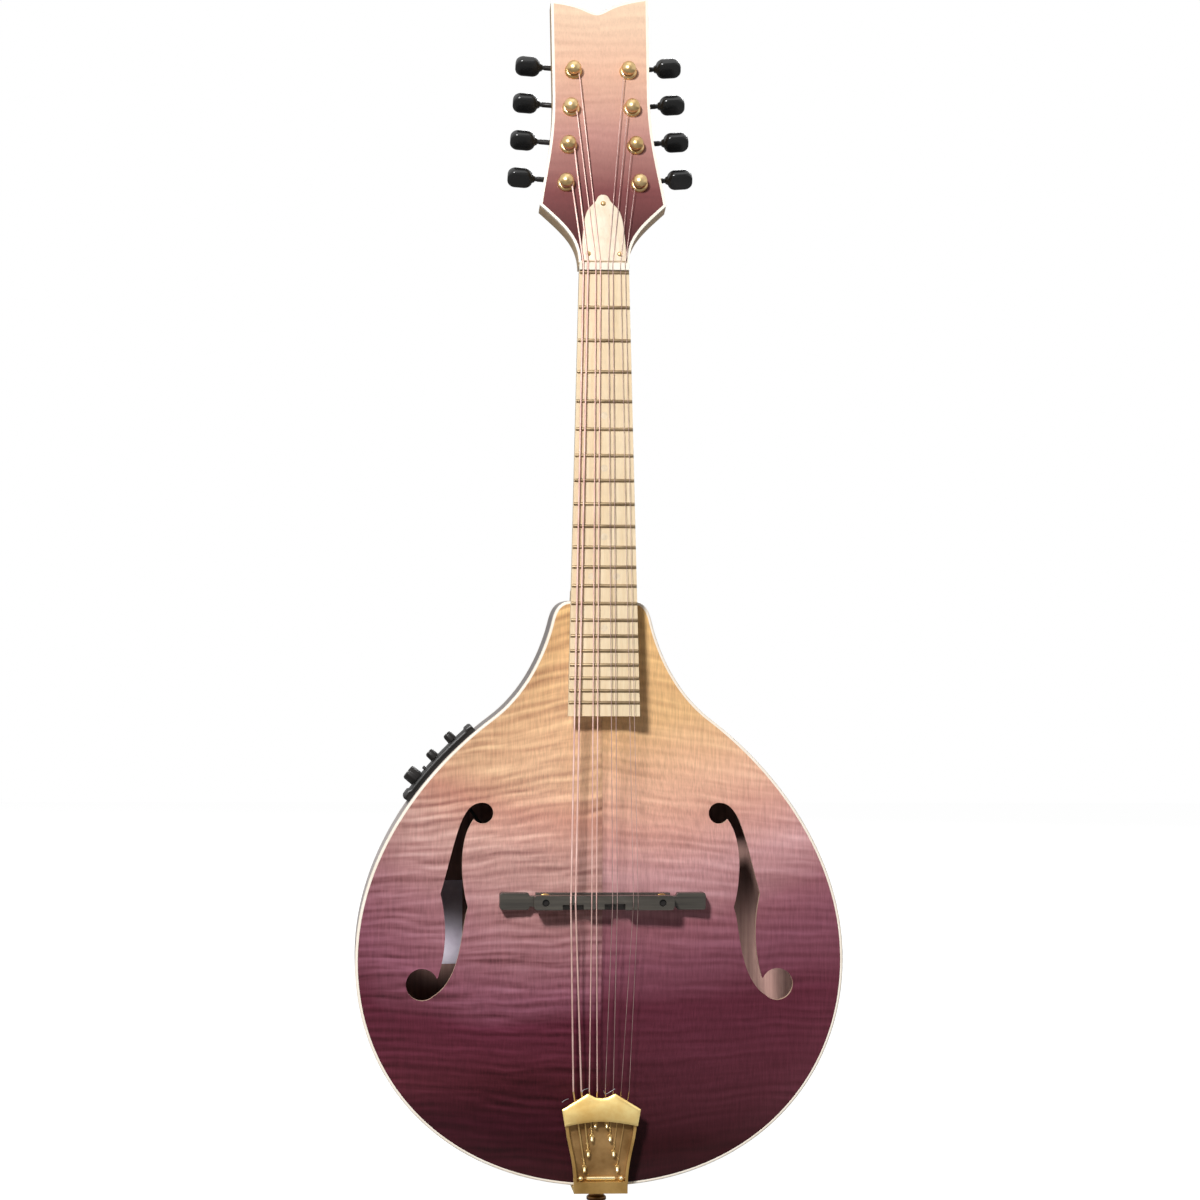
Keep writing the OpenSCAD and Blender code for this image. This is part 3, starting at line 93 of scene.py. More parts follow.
def minus(tree, first, second):
    return mathNode(tree, "SUBTRACT", first, second)


def mixColour(tree, factor, first, second):
    return addNode(tree, "Mix", {0: factor, 6: first, 7: second}, data_type="RGBA").outputs[2]


def rangeNode(tree, value, low, high, toLow, toHigh):
    return addNode(tree, "MapRange", {
        "Value": value, "From Min": low, "From Max": high, "To Min": toLow, "To Max": toHigh,
    }).outputs["Result"]


def rampNode(tree, value, stops):
    made = addNode(tree, "ValToRGB", {"Fac": value})
    band = made.color_ramp
    while len(band.elements) > 1:
        band.elements.remove(band.elements[-1])
    for index, (place, colour) in enumerate(stops):
        stop = band.elements[0] if index == 0 else band.elements.new(place)
        stop.position = place
        stop.color = colour
    return made.outputs["Color"]


def newGroup(name, inputs, outputs):
    tree = bpy.data.node_groups.new(name, "ShaderNodeTree")
    for label, kind, value in inputs:
        socket = tree.interface.new_socket(name=label, in_out="INPUT", socket_type=kind)
        if value is not None:
            socket.default_value = value
    for label, kind in outputs:
        tree.interface.new_socket(name=label, in_out="OUTPUT", socket_type=kind)
    entry = tree.nodes.new("NodeGroupInput")
    leave = tree.nodes.new("NodeGroupOutput")
    return tree, entry.outputs, leave.inputs


def groupNode(tree, group, inputs):
    return addNode(tree, "Group", inputs, node_tree=group).outputs


def stretched(tree, place, scale):
    return addNode(tree, "Mapping", {"Vector": place, "Scale": scale}).outputs["Vector"]


def noiseNode(tree, place, scale=1.0, detail=2.0, roughness=0.5):
    return addNode(tree, "TexNoise", {
        "Vector": place, "Scale": scale, "Detail": detail, "Roughness": roughness}).outputs["Fac"]


# A value's swing about one half, times a strength
def swingNode(tree, value, strength):
    return times(tree, minus(tree, value, 0.5), strength)


def bumpNode(tree, height, strength, **others):
    return addNode(tree, "Bump", {
        "Strength": strength, "Distance": 0.0002, "Height": height, **others}).outputs["Normal"]


cameraSetup = {
    "target": (-0.0011, -0.021, 0.3294),  # where the view's middle meets the body's front edge
    "distance": 2.019,
    "azimuth": -4.3,
    "roll": 0.28,
    "lens": 107.8,
}


def makeCamera(setup):
    data = bpy.data.cameras.new("camera")
    data.lens = setup["lens"]
    data.sensor_width = 36
    data.clip_start = 0.05
    data.clip_end = 50
    camera = bpy.data.objects.new("camera", data)
    bpy.context.scene.collection.objects.link(camera)
    turn = math.radians(setup["azimuth"])
    back = Vector((math.sin(turn), -math.cos(turn), 0))
    camera.location = Vector(setup["target"]) + back * setup["distance"]
    camera.rotation_mode = "QUATERNION"
    aim = (-back).to_track_quat("-Z", "Y")
    camera.rotation_quaternion = aim @ Quaternion((0, 0, 1), math.radians(setup["roll"]))
    bpy.context.scene.camera = camera


lampSetup = {
    "key": {"place": (-1.05, -2.85, 1.95), "size": 0.42, "power": 120, "aim": (0, 0, 0.33)},
    "fill": {"place": (1.3, -1.5, 0.5), "size": 1.4, "power": 0.8, "aim": (0, 0, 0.3)},
    "top": {"place": (0.1, -0.35, 1.6), "size": 0.8, "power": 1.4, "aim": (0, 0, 0.35)},
    "rear": {"place": (0.7, 2.2, 1.9), "size": 1.0, "power": 42, "aim": (0, 0, 0.33)},
    # two small lamps inside the body light what shows through the f-holes
    "label": {"place": (-0.088, 0.000, 0.130), "size": 0.022, "tall": 0.016, "power": 0.0013,
              "aim": (-0.088, 0.05, 0.130), "spread": 90},
    "inside": {"place": (0.095, -0.006, 0.120), "size": 0.02, "tall": 0.06, "power": 0.0050,
               "aim": (0.095, 0.05, 0.120), "spread": 110},
}


def makeLamps(setup):
    for name, lamp in setup.items():
        data = bpy.data.lights.new(name, "AREA")
        data.shape = "RECTANGLE"
        data.size = lamp["size"]
        data.size_y = lamp.get("tall", lamp["size"])
        data.spread = math.radians(lamp.get("spread", 180))
        data.energy = lamp["power"]
        obj = bpy.data.objects.new(name, data)
        bpy.context.scene.collection.objects.link(obj)
        obj.location = lamp["place"]
        aim = Vector(lamp["aim"]) - Vector(lamp["place"])
        obj.rotation_mode = "QUATERNION"
        obj.rotation_quaternion = aim.to_track_quat("-Z", "Y")


worldSetup = {"seen": 1.0, "light": 0.04, "mirrorSide": 0.95, "mirrorFront": 0.3}


# 1 where the camera or a clear thing looks, and 0 for the light that falls
def seenDirectly(tree):
    rays = addNode(tree, "LightPath").outputs
    return plus(tree, rays["Is Camera Ray"], rays["Is Transmission Ray"], clamp=True)


# The studio: white all round for the camera, but what shines reflects a dim room in front and
# behind, with bright walls at both sides and above
def makeWorld(setup):
    world = bpy.data.worlds.new("studio")
    bpy.context.scene.world = world
    world.use_nodes = True
    tree = world.node_tree
    background = tree.nodes["Background"]
    background.inputs["Color"].default_value = (1, 1, 1, 1)
    way = addNode(tree, "TexCoord").outputs["Generated"]
    facing = mathNode(tree, "ABSOLUTE", addNode(tree, "SeparateXYZ", {"Vector": way}).outputs["Y"])
    mirror = rangeNode(tree, facing, 0.55, 0.97, setup["mirrorSide"], setup["mirrorFront"])
    glossy = addNode(tree, "LightPath").outputs["Is Glossy Ray"]
    shine = times(tree, glossy, minus(tree, mirror, setup["light"]))
    light = plus(tree, setup["light"], shine)
    strength = rangeNode(tree, seenDirectly(tree), 0, 1, light, setup["seen"])
    tree.links.new(strength, background.inputs["Strength"])


stageSetup = {"drop": 0.0005, "half": 4.0, "glow": 0.96, "bounce": 0.1, "paint": 0.30}


def makeFloor(setup):
    grid = bmesh.new()
    bmesh.ops.create_grid(grid, x_segments=2, y_segments=2, size=setup["half"])
    bmesh.ops.translate(grid, verts=grid.verts, vec=(0, 0, cadBox[0].z - setup["drop"]))
    mesh = bpy.data.meshes.new("floor")
    grid.to_mesh(mesh)
    grid.free()
    floor = bpy.data.objects.new("floor", mesh)
    bpy.context.scene.collection.objects.link(floor)
    material = bpy.data.materials.new("palePaper")
    material.use_nodes = True
    tree = material.node_tree
    tree.nodes.clear()
    paint = tree.nodes.new("ShaderNodeBsdfDiffuse")
    paint.inputs["Color"].default_value = (setup["paint"],) * 3 + (1,)
    glow = tree.nodes.new("ShaderNodeEmission")
    lift = rangeNode(tree, seenDirectly(tree), 0, 1, setup["bounce"], setup["glow"])
    tree.links.new(lift, glow.inputs["Strength"])
    both = tree.nodes.new("ShaderNodeAddShader")
    out = tree.nodes.new("ShaderNodeOutputMaterial")
    tree.links.new(paint.outputs[0], both.inputs[0])
    tree.links.new(glow.outputs[0], both.inputs[1])
    tree.links.new(both.outputs[0], out.inputs["Surface"])
    mesh.materials.append(material)


bpy.context.scene.view_settings.view_transform = "Standard"
makeCamera(cameraSetup)
makeLamps(lampSetup)
makeWorld(worldSetup)
makeFloor(stageSetup)
print("stage ready")

# How often the grain changes in X, Y and Z, per metre, and how much its streaks stand out
grainSetup = {"streaks": (420, 420, 14), "pores": (2600, 2600, 120), "streakHeight": 0.35}


# Straight grain along Z: long streaks, short pores and a height for the bump
def makeGrainGroup():
    tree, entry, leave = newGroup(
        "straightGrain",
        [("Place", "NodeSocketVector", None), ("Pores", "NodeSocketFloat", 0.5)],
        [("Streaks", "NodeSocketFloat"), ("Pores", "NodeSocketFloat"), ("Height", "NodeSocketFloat")])
    streaks = noiseNode(tree, stretched(tree, entry["Place"], grainSetup["streaks"]), 1, 5, 0.62)
    short = noiseNode(tree, stretched(tree, entry["Place"], grainSetup["pores"]))
    pores = times(tree, rangeNode(tree, short, 0.56, 0.72, 0, 1), entry["Pores"])
    tree.links.new(streaks, leave["Streaks"])
    tree.links.new(pores, leave["Pores"])
    height = times(tree, streaks, grainSetup["streakHeight"])
    tree.links.new(minus(tree, height, pores), leave["Height"])
    return tree


# The flame's bands: how often each changes outwards and upwards, per metre, how far the two
# halves differ, and its share of the figure; then the even wave that runs through them
flameBands = [
    {"along": 7.0, "over": 120.0, "offset": 0.2, "share": 0.26},
    {"along": 12.0, "over": 270.0, "offset": 0.4, "share": 0.28},
    {"along": 60.0, "over": 420.0, "offset": 0.6, "share": 0.18},
]
flameWave = {"rate": 168, "wander": 15.0, "wanderRate": (16, 16, 42), "share": 0.28}
# How the bands bend, how their depth changes in patches, and the fine silk
flameSetup = {
    "bend": 0.010, "bendRate": (14.0, 0.35, 24.0), "patchRate": (34, 34, 60), "patchDepth": (0.6, 1.3),
    "silkRate": (1150, 1150, 95),
}


# Flame figure across the grain, matched book-wise about the middle: broad and narrow bands that
# climb towards the middle high up and lie flat low down, and fine silk along the grain
def makeFlameGroup():
    tree, entry, leave = newGroup(
        "flameFigure",
        [("Place", "NodeSocketVector", None), ("Width", "NodeSocketFloat", 1.0),
         ("Lean", "NodeSocketFloat", 1.0), ("Level", "NodeSocketFloat", 0.1)],
        [("Flame", "NodeSocketFloat"), ("Silk", "NodeSocketFloat")])
    parts = addNode(tree, "SeparateXYZ", {"Vector": entry["Place"]})
    x, z = parts.outputs["X"], parts.outputs["Z"]
    side = mathNode(tree, "ABSOLUTE", x)
    half = mathNode(tree, "GREATER_THAN", x, 0.0)
    lean = times(tree, minus(tree, z, entry["Level"]), entry["Lean"])
    leaned = plus(tree, z, times(tree, side, lean))
    outwards, halves, upwards = flameSetup["bendRate"]
    warpPlace = addNode(tree, "CombineXYZ", {
        "X": times(tree, side, outwards), "Y": times(tree, half, halves), "Z": times(tree, leaned, upwards)})
    bend = swingNode(tree, noiseNode(tree, warpPlace.outputs[0]), flameSetup["bend"])
    across = times(tree, plus(tree, leaned, bend), entry["Width"])
    layers, shares = [], []
    for band in flameBands:
        place = addNode(tree, "CombineXYZ", {
            "X": times(tree, side, band["along"]), "Y": times(tree, half, band["offset"]),
            "Z": times(tree, across, band["over"])})
        layers.append(rangeNode(tree, noiseNode(tree, place.outputs[0], 1, 1.5, 0.45), 0.34, 0.66, 0, 1))
        shares.append(band["share"])
    wander = noiseNode(tree, stretched(tree, entry["Place"], flameWave["wanderRate"]))
    turn = plus(tree, times(tree, across, math.tau * flameWave["rate"]),
                times(tree, wander, flameWave["wander"]))
    wave = plus(tree, times(tree, mathNode(tree, "SINE", turn), 0.5), 0.5)
    flame = times(tree, layers[0], shares[0])
    for layer, part in zip(layers[1:] + [wave], shares[1:] + [flameWave["share"]]):
        flame = plus(tree, flame, times(tree, layer, part))
    # the figure fades in and out in patches
    patch = noiseNode(tree, stretched(tree, entry["Place"], flameSetup["patchRate"]))
    depth = rangeNode(tree, patch, 0.36, 0.64, *flameSetup["patchDepth"])
    tree.links.new(plus(tree, 0.5, swingNode(tree, flame, depth)), leave["Flame"])
    silk = noiseNode(tree, stretched(tree, entry["Place"], flameSetup["silkRate"]), 1, 2.5, 0.6)
    tree.links.new(rangeNode(tree, silk, 0.3, 0.7, 0, 1), leave["Silk"])
    return tree


# Handling marks: smudges for the roughness and hair-fine scuffs for the bump
def makeHandlingGroup():
    tree, entry, leave = newGroup(
        "handling",
        [("Place", "NodeSocketVector", None), ("Base", "NodeSocketFloat", 0.3),
         ("Spread", "NodeSocketFloat", 0.1), ("Scuff", "NodeSocketFloat", 0.1),
         ("Size", "NodeSocketFloat", 60.0)],
        [("Roughness", "NodeSocketFloat"), ("Normal", "NodeSocketVector"), ("Smudge", "NodeSocketFloat")])
    smudge = noiseNode(tree, entry["Place"], entry["Size"], 4, 0.6)
    fine = noiseNode(tree, entry["Place"], times(tree, entry["Size"], 26.0), 3)
    shift = swingNode(tree, smudge, entry["Spread"])
    tree.links.new(plus(tree, entry["Base"], shift, clamp=True), leave["Roughness"])
    tree.links.new(bumpNode(tree, fine, entry["Scuff"]), leave["Normal"])
    tree.links.new(smudge, leave["Smudge"])
    return tree


grainGroup = makeGrainGroup()
flameGroup = makeFlameGroup()
handlingGroup = makeHandlingGroup()


def newMaterial(name, constants):
    material = bpy.data.materials.new(name)
    material.use_nodes = True
    tree = material.node_tree
    shader = tree.nodes["Principled BSDF"]
    for key, value in constants.items():
        shader.inputs[key].default_value = value
    place = addNode(tree, "TexCoord").outputs["Object"]
    return material, tree, shader, place


# The plates' stain from the tail up, on the bass and on the treble half: heights in millimetres
# and colours
bassStain = [
    (0, (50, 15, 20)), (35, (55, 15, 25)), (60, (80, 30, 40)), (90, (90, 35, 50)), (105, (135, 80, 95)),
    (135, (155, 105, 110)), (180, (190, 145, 135)), (205, (195, 140, 120)), (225, (215, 170, 135)),
    (330, (225, 180, 125)),
]
trebleStain = [
    (0, (45, 15, 20)), (25, (50, 15, 20)), (50, (80, 35, 45)), (100, (95, 40, 55)), (125, (130, 75, 90)),
    (145, (145, 90, 100)), (175, (200, 150, 150)), (200, (210, 155, 140)), (225, (230, 180, 150)),
    (260, (225, 180, 130)), (330, (235, 190, 125)),
]
# The headstock's stain from the nut up, above its low end
headStainStops = [
    (0, (70, 25, 30)), (20, (80, 35, 35)), (45, (120, 65, 65)), (80, (185, 135, 125)),
    (115, (220, 175, 150)), (160, (235, 205, 175)),
]
# The height in millimetres that a list of stops is laid over, how much less the treble half climbs,
# where the figure grows weaker, the width of the joint's line, and how pores and figure darken
stainSetup = {
    "reach": 330.0, "trebleClimb": 0.65, "weaker": (0.14, 0.26), "line": (0.0001, 0.0006),
    "poreDepth": 0.12, "deepen": 0.35,
}


def stainedMaterial(name, bassStops, trebleStops, settings):
    material, tree, shader, place = newMaterial(name, {
        "Coat Weight": settings["coat"], "Coat Roughness": 0.2, "IOR": 1.5,
        "Specular IOR Level": settings["specular"]})
    parts = addNode(tree, "SeparateXYZ", {"Vector": place})
    x, z = parts.outputs["X"], parts.outputs["Z"]
    treble = rangeNode(tree, x, settings["seam"][0], settings["seam"][1], 0, 1)
    # the stain climbs a little towards both sides
    out = times(tree, x, 1 / settings["halfWidth"])
    climb = rangeNode(tree, z, settings["climbFrom"], settings["climbTo"], 0, settings["climb"])
    climb = times(tree, times(tree, out, out), climb)
    climb = times(tree, climb, rangeNode(tree, treble, 0, 1, 1.0, stainSetup["trebleClimb"]))
    drift = swingNode(tree, noiseNode(tree, place, 14, 3), settings["drift"])
    height = plus(tree, minus(tree, z, climb), drift)
    reach = stainSetup["reach"]
    scaled = rangeNode(tree, height, settings["low"], settings["low"] + reach * millimetre, 0, 1)
    bassHalf, trebleHalf = (
        rampNode(tree, scaled, [(up / reach, srgb(*colour)) for up, colour in stops])
        for stops in (bassStops, trebleStops))
    stain = mixColour(tree, treble, bassHalf, trebleHalf)
    grain = groupNode(tree, grainGroup, {"Place": place, "Pores": 0.7})
    flame = groupNode(tree, flameGroup, {
        "Place": place, "Width": settings["flameWidth"], "Lean": settings["lean"],
        "Level": settings["level"]})
    # the figure shows more on the bass half, whose fibres lean towards the light, and less high up
    strength = rangeNode(tree, treble, 0, 1, settings["flameBass"], settings["flameTreble"])
    upper = rangeNode(tree, z, *stainSetup["weaker"], 1.0, settings["flameUpper"])
    figure = swingNode(tree, flame["Flame"], times(tree, strength, upper))
    silk = swingNode(tree, flame["Silk"], settings["silk"])
    streaks = swingNode(tree, grain["Streaks"], settings["streaks"])
    tone = plus(tree, plus(tree, figure, silk), plus(tree, streaks, 1.0))
    tone = minus(tree, tone, times(tree, grain["Pores"], stainSetup["poreDepth"]))
    # a fine dark line where the two halves meet
    line = rangeNode(tree, mathNode(tree, "ABSOLUTE", x), *stainSetup["line"], settings["joint"], 1.0)
    tone = times(tree, tone, line)
    colour = addNode(tree, "VectorMath", {0: stain, "Scale": tone}, operation="SCALE").outputs["Vector"]
    # dark bands take more of the stain's red, pale ones more of the wood
    deep = plus(tree, 1.0, times(tree, figure, stainSetup["deepen"]))
    tint = addNode(tree, "CombineXYZ", {"X": 1.0, "Y": deep, "Z": deep}).outputs[0]
    tinted = addNode(tree, "VectorMath", {0: colour, 1: tint}, operation="MULTIPLY").outputs["Vector"]
    tree.links.new(tinted, shader.inputs["Base Color"])
    rough = rangeNode(tree, flame["Flame"], 0, 1, settings["roughness"] + 0.05, settings["roughness"] - 0.05)
    tree.links.new(rough, shader.inputs["Roughness"])
    tree.links.new(bumpNode(tree, grain["Height"], 0.12), shader.inputs["Normal"])
    return material


def woodMaterial(name, settings):
    material, tree, shader, place = newMaterial(name, {
        "Coat Weight": settings.get("coat", 0.1), "Coat Roughness": 0.25, "IOR": 1.5})
    turn = settings.get("turn", (0, 0, 0))
    turned = addNode(tree, "Mapping", {"Vector": place, "Rotation": turn}).outputs["Vector"]
    grain = groupNode(tree, grainGroup, {"Place": turned, "Pores": 0.5})
    flame = groupNode(tree, flameGroup, {"Place": turned, "Width": 1.0, "Lean": 0.1, "Level": 0.0})
    base = mixColour(tree, rangeNode(tree, grain["Streaks"], 0.3, 0.7, 0, 1),
                     srgb(*settings["dark"]), srgb(*settings["light"]))
    figure = rangeNode(tree, flame["Flame"], 0, 1, 1 - settings["flame"], 1 + settings["flame"] * 0.5)
    tone = minus(tree, figure, times(tree, grain["Pores"], 0.2))
    # painted shade: a wood with a shade setting grows darker from 0.19 to 0.25 m up, where the upper ribs
    # stand in shade
    if "shade" in settings:
        height = addNode(tree, "SeparateXYZ", {"Vector": place}).outputs["Z"]
        tone = times(tree, tone, rangeNode(tree, height, 0.19, 0.25, 1.0, settings["shade"]))
    colour = addNode(tree, "VectorMath", {0: base, "Scale": tone}, operation="SCALE").outputs["Vector"]
    tree.links.new(colour, shader.inputs["Base Color"])
    handling = groupNode(tree, handlingGroup, {
        "Place": place, "Base": settings["roughness"], "Spread": 0.14, "Scuff": 0.03, "Size": 45.0})
    tree.links.new(handling["Roughness"], shader.inputs["Roughness"])
    bump = bumpNode(tree, grain["Height"], 0.12, Normal=handling["Normal"])
    tree.links.new(bump, shader.inputs["Normal"])
    return material


def plainMaterial(name, settings):
    material, tree, shader, place = newMaterial(name, {
        "Metallic": settings.get("metallic", 0.0), "IOR": 1.5,
        "Specular IOR Level": settings.get("specular", 0.5)})
    handling = groupNode(tree, handlingGroup, {
        "Place": place, "Base": settings["roughness"], "Spread": settings.get("spread", 0.12),
        "Scuff": settings.get("scuff", 0.08), "Size": settings.get("size", 60.0)})
    colour = mixColour(tree, rangeNode(tree, handling["Smudge"], 0.35, 0.65, 0, 1),
                       srgb(*settings["dark"]), srgb(*settings["light"]))
    tree.links.new(colour, shader.inputs["Base Color"])
    tree.links.new(handling["Roughness"], shader.inputs["Roughness"])
    tree.links.new(handling["Normal"], shader.inputs["Normal"])
    return material


# What both plates share, and then what each stained surface has of its own
plateStain = {
    "coat": 0.02, "specular": 0.14, "roughness": 0.42, "halfWidth": 0.115, "climbFrom": 0.08, "climbTo": 0.16,
    "low": 0.0, "level": 0.10, "flameUpper": 0.6, "streaks": 0.12, "seam": (-0.0004, 0.0004), "joint": 0.84,
}
topStain = {
    "climb": 0.036, "flameWidth": 1.0, "lean": 1.25, "flameBass": 1.2, "flameTreble": 0.60, "silk": 0.26,
    "drift": 0.016,
}
backStain = {
    "climb": 0.03, "flameWidth": 0.9, "lean": -1.0, "flameBass": 0.60, "flameTreble": 0.55, "silk": 0.2,
    "drift": 0.02,
}
headStain = {
    "coat": 0.05, "specular": 0.18, "roughness": 0.38, "halfWidth": 0.03, "climb": 0.0, "climbFrom": 0.5,
    "climbTo": 0.6, "low": 0.515, "flameWidth": 1.0, "lean": 0.1, "level": 0.515, "flameBass": 0.22,
    "flameTreble": 0.16, "flameUpper": 1.0, "silk": 0.1, "streaks": 0.10, "seam": (-0.02, 0.02), "joint": 1.0,
    "drift": 0.008,
}
# Woods and plain surfaces: their darkest and lightest colours, and what differs from the usual
woods = {
    # the side maple's shade setting is painted shade on the upper part of the ribs
    "sideMaple": {
        "dark": (206, 194, 190), "light": (232, 222, 219), "flame": 0.10, "roughness": 0.5, "coat": 0.0,
        "shade": 0.42},
    "neckMaple": {"dark": (203, 166, 120), "light": (226, 193, 149), "flame": 0.10, "roughness": 0.42},
    "boardMaple": {"dark": (226, 200, 160), "light": (240, 220, 186), "flame": 0.05, "roughness": 0.45},
    "rawSpruce": {
        "dark": (196, 158, 108), "light": (224, 192, 144), "flame": 0.02, "roughness": 0.7, "coat": 0.0},
    "innerMaple": {
        "dark": (128, 94, 86), "light": (160, 124, 114), "flame": 0.05, "roughness": 0.7, "coat": 0.0},
    "ebony": {
        "dark": (44, 40, 36), "light": (78, 73, 65), "flame": 0.05, "roughness": 0.34, "coat": 0.15,
        "turn": (0, math.radians(90), 0)},
    "rawEdge": {
        "dark": (206, 168, 144), "light": (236, 204, 180), "flame": 0.05, "roughness": 0.6, "coat": 0.0},
    "coverMaple": {
        "dark": (232, 212, 184), "light": (246, 232, 210), "flame": 0.08, "roughness": 0.4},
}
plains = {
    "creamBinding": {
        "dark": (247, 234, 216), "light": (253, 244, 230), "roughness": 0.4, "spread": 0.08,
        "scuff": 0.03},
    "boneNut": {"dark": (240, 230, 208), "light": (252, 247, 234), "roughness": 0.34, "scuff": 0.05},
    "shell": {"dark": (216, 196, 166), "light": (236, 218, 190), "roughness": 0.3, "size": 400.0},
    "goldPlate": {
        "dark": (200, 166, 112), "light": (232, 202, 150), "roughness": 0.30, "metallic": 1.0,
        "scuff": 0.05},
    "fretBronze": {"dark": (132, 112, 84), "light": (176, 154, 122), "roughness": 0.42, "metallic": 0.8},
    "plainSteel": {"dark": (150, 150, 152), "light": (196, 196, 198), "roughness": 0.3, "metallic": 1.0},
    # painted reflection: the strings' pink tint stands for the stained top they reflect; the wound strings'
    # bronze is partly their own colour
    "woundBronze": {"dark": (220, 176, 165), "light": (246, 210, 199), "roughness": 0.45, "metallic": 0.4},
    "stringSteel": {"dark": (160, 130, 126), "light": (204, 174, 166), "roughness": 0.4, "metallic": 0.7},
    "goldWire": {"dark": (206, 168, 104), "light": (240, 208, 142), "roughness": 0.36, "metallic": 0.8},
    "goldBright": {"dark": (246, 220, 158), "light": (255, 240, 196), "roughness": 0.24, "metallic": 0.85},
    "goldRail": {
        "dark": (186, 146, 84), "light": (214, 174, 108), "roughness": 0.42, "metallic": 1.0,
        "spread": 0.14},
    "blackGloss": {
        "dark": (14, 14, 14), "light": (24, 24, 24), "roughness": 0.22, "specular": 0.55, "scuff": 0.04},
    # black satin, also used as painted shade on the bridge studs
    "blackSatin": {
        "dark": (24, 22, 21), "light": (38, 35, 33), "roughness": 0.36, "specular": 0.3, "scuff": 0.12},
    "cableRubber": {"dark": (16, 16, 16), "light": (26, 26, 26), "roughness": 0.6},
    "brass": {
        "dark": (190, 146, 84), "light": (226, 186, 122), "roughness": 0.25, "metallic": 1.0,
        "scuff": 0.08},
    "goldSatin": {
        "dark": (240, 198, 118), "light": (255, 230, 158), "roughness": 0.48, "metallic": 0.85,
        "spread": 0.14, "scuff": 0.10},
    # darker gold, partly a brushed finish and partly painted shade, for the tailpiece's recessed floor and
    # the inner walls of its rails
    "brushedGoldAndShade": {
        "dark": (138, 104, 62), "light": (178, 142, 94), "roughness": 0.5, "metallic": 1.0,
        "spread": 0.14, "scuff": 0.14},
    "endPinBronze": {"dark": (92, 66, 44), "light": (150, 112, 76), "roughness": 0.3, "metallic": 1.0},
    "plainPaper": {
        "dark": (208, 196, 212), "light": (230, 222, 234), "roughness": 0.7, "specular": 0.1,
        "spread": 0.3},
    "paleMark": {"dark": (206, 206, 202), "light": (232, 232, 228), "roughness": 0.5},
}
materials = {
    "stainedTop": stainedMaterial("stainedTop", bassStain, trebleStain, plateStain | topStain),
    "stainedBack": stainedMaterial("stainedBack", bassStain, bassStain, plateStain | backStain),
    "headStain": stainedMaterial("headStain", headStainStops, headStainStops, headStain),
}
for name, settings in woods.items():
    materials[name] = woodMaterial(name, settings)
for name, settings in plains.items():
    materials[name] = plainMaterial(name, settings)
print("materials ready")


# Every shape is a bmesh in millimetres until it becomes a piece.
# A curve from its four control points, and its direction
def bezier(points, t):
    a, b, c, d = (Vector(p) for p in points)
    return a * (1 - t) ** 3 + b * 3 * t * (1 - t) ** 2 + c * 3 * (1 - t) * t * t + d * t ** 3


def bezierSlope(points, t):
    a, b, c, d = (Vector(p) for p in points)
    return ((b - a) * (1 - t) ** 2 + (c - b) * 2 * t * (1 - t) + (d - c) * t * t).normalized()


def curvePoints(points, count):
    return [bezier(points, i / count) for i in range(count + 1)]


def shiftedPoints(points, count, out):
    made = []
    for i in range(count + 1):
        slope = bezierSlope(points, i / count)
        made.append(bezier(points, i / count) + out * Vector((slope.y, -slope.x)))
    return made


# Points round a circle, from its +X side
def circlePoints(radius, count, centre=(0, 0)):
    turns = [math.tau * i / count for i in range(count)]
    return [Vector(centre) + radius * Vector((math.cos(a), math.sin(a))) for a in turns]


# The other half of a half outline, in the order that closes it
def mirrored(points):
    return [Vector((-p.x, p.y)) for p in reversed(points)]


def blend(a, b, t):
    return a + (b - a) * t


def addLoop(shape, points, closed=True):
    verts = [shape.verts.new(p) for p in points]
    pairs = zip(verts, verts[1:] + verts[:1]) if closed else zip(verts, verts[1:])
    return [shape.edges.new(pair) for pair in pairs]


# A skin over rings of points that all have the same number of points
def loft(rings):
    shape = bmesh.new()
    loops = [addLoop(shape, ring) for ring in rings]
    for first, second in zip(loops, loops[1:]):
        bmesh.ops.bridge_loops(shape, edges=first + second)
    for loop in (loops[0], loops[-1]):
        bmesh.ops.contextual_create(shape, geom=loop)
    bmesh.ops.recalc_face_normals(shape, faces=shape.faces)
    return shape


# Gives a sheet a depth along Y
def thickened(shape, depth):
    made = bmesh.ops.extrude_face_region(shape, geom=shape.faces[:])["geom"]
    verts = [v for v in made if isinstance(v, bmesh.types.BMVert)]
    bmesh.ops.translate(shape, verts=verts, vec=(0, depth, 0))
    bmesh.ops.recalc_face_normals(shape, faces=shape.faces)
    return shape


# An outline in X and Z made solid from y=low to y=high
def prism(points, low, high):
    shape = bmesh.new()
    bmesh.ops.contextual_create(shape, geom=addLoop(shape, [(p[0], low, p[1]) for p in points]))
    return thickened(shape, high - low)


def cube(matrix, size):
    shape = bmesh.new()
    bmesh.ops.create_cube(shape, size=1.0, matrix=matrix @ Matrix.Diagonal((*size, 1)))
    bmesh.ops.recalc_face_normals(shape, faces=shape.faces)
    return shape


# A profile of radii and heights turned about Y
def spun(profile, steps=40):
    shape = bmesh.new()
    edges = addLoop(shape, [(r, y, 0) for r, y in profile], closed=False)
    bmesh.ops.spin(shape, geom=shape.verts[:] + edges, cent=(0, 0, 0), axis=(0, 1, 0),
                   angle=math.tau, steps=steps, use_merge=True)
    bmesh.ops.remove_doubles(shape, verts=shape.verts, dist=0.0005)
    bmesh.ops.recalc_face_normals(shape, faces=shape.faces)
    return shape


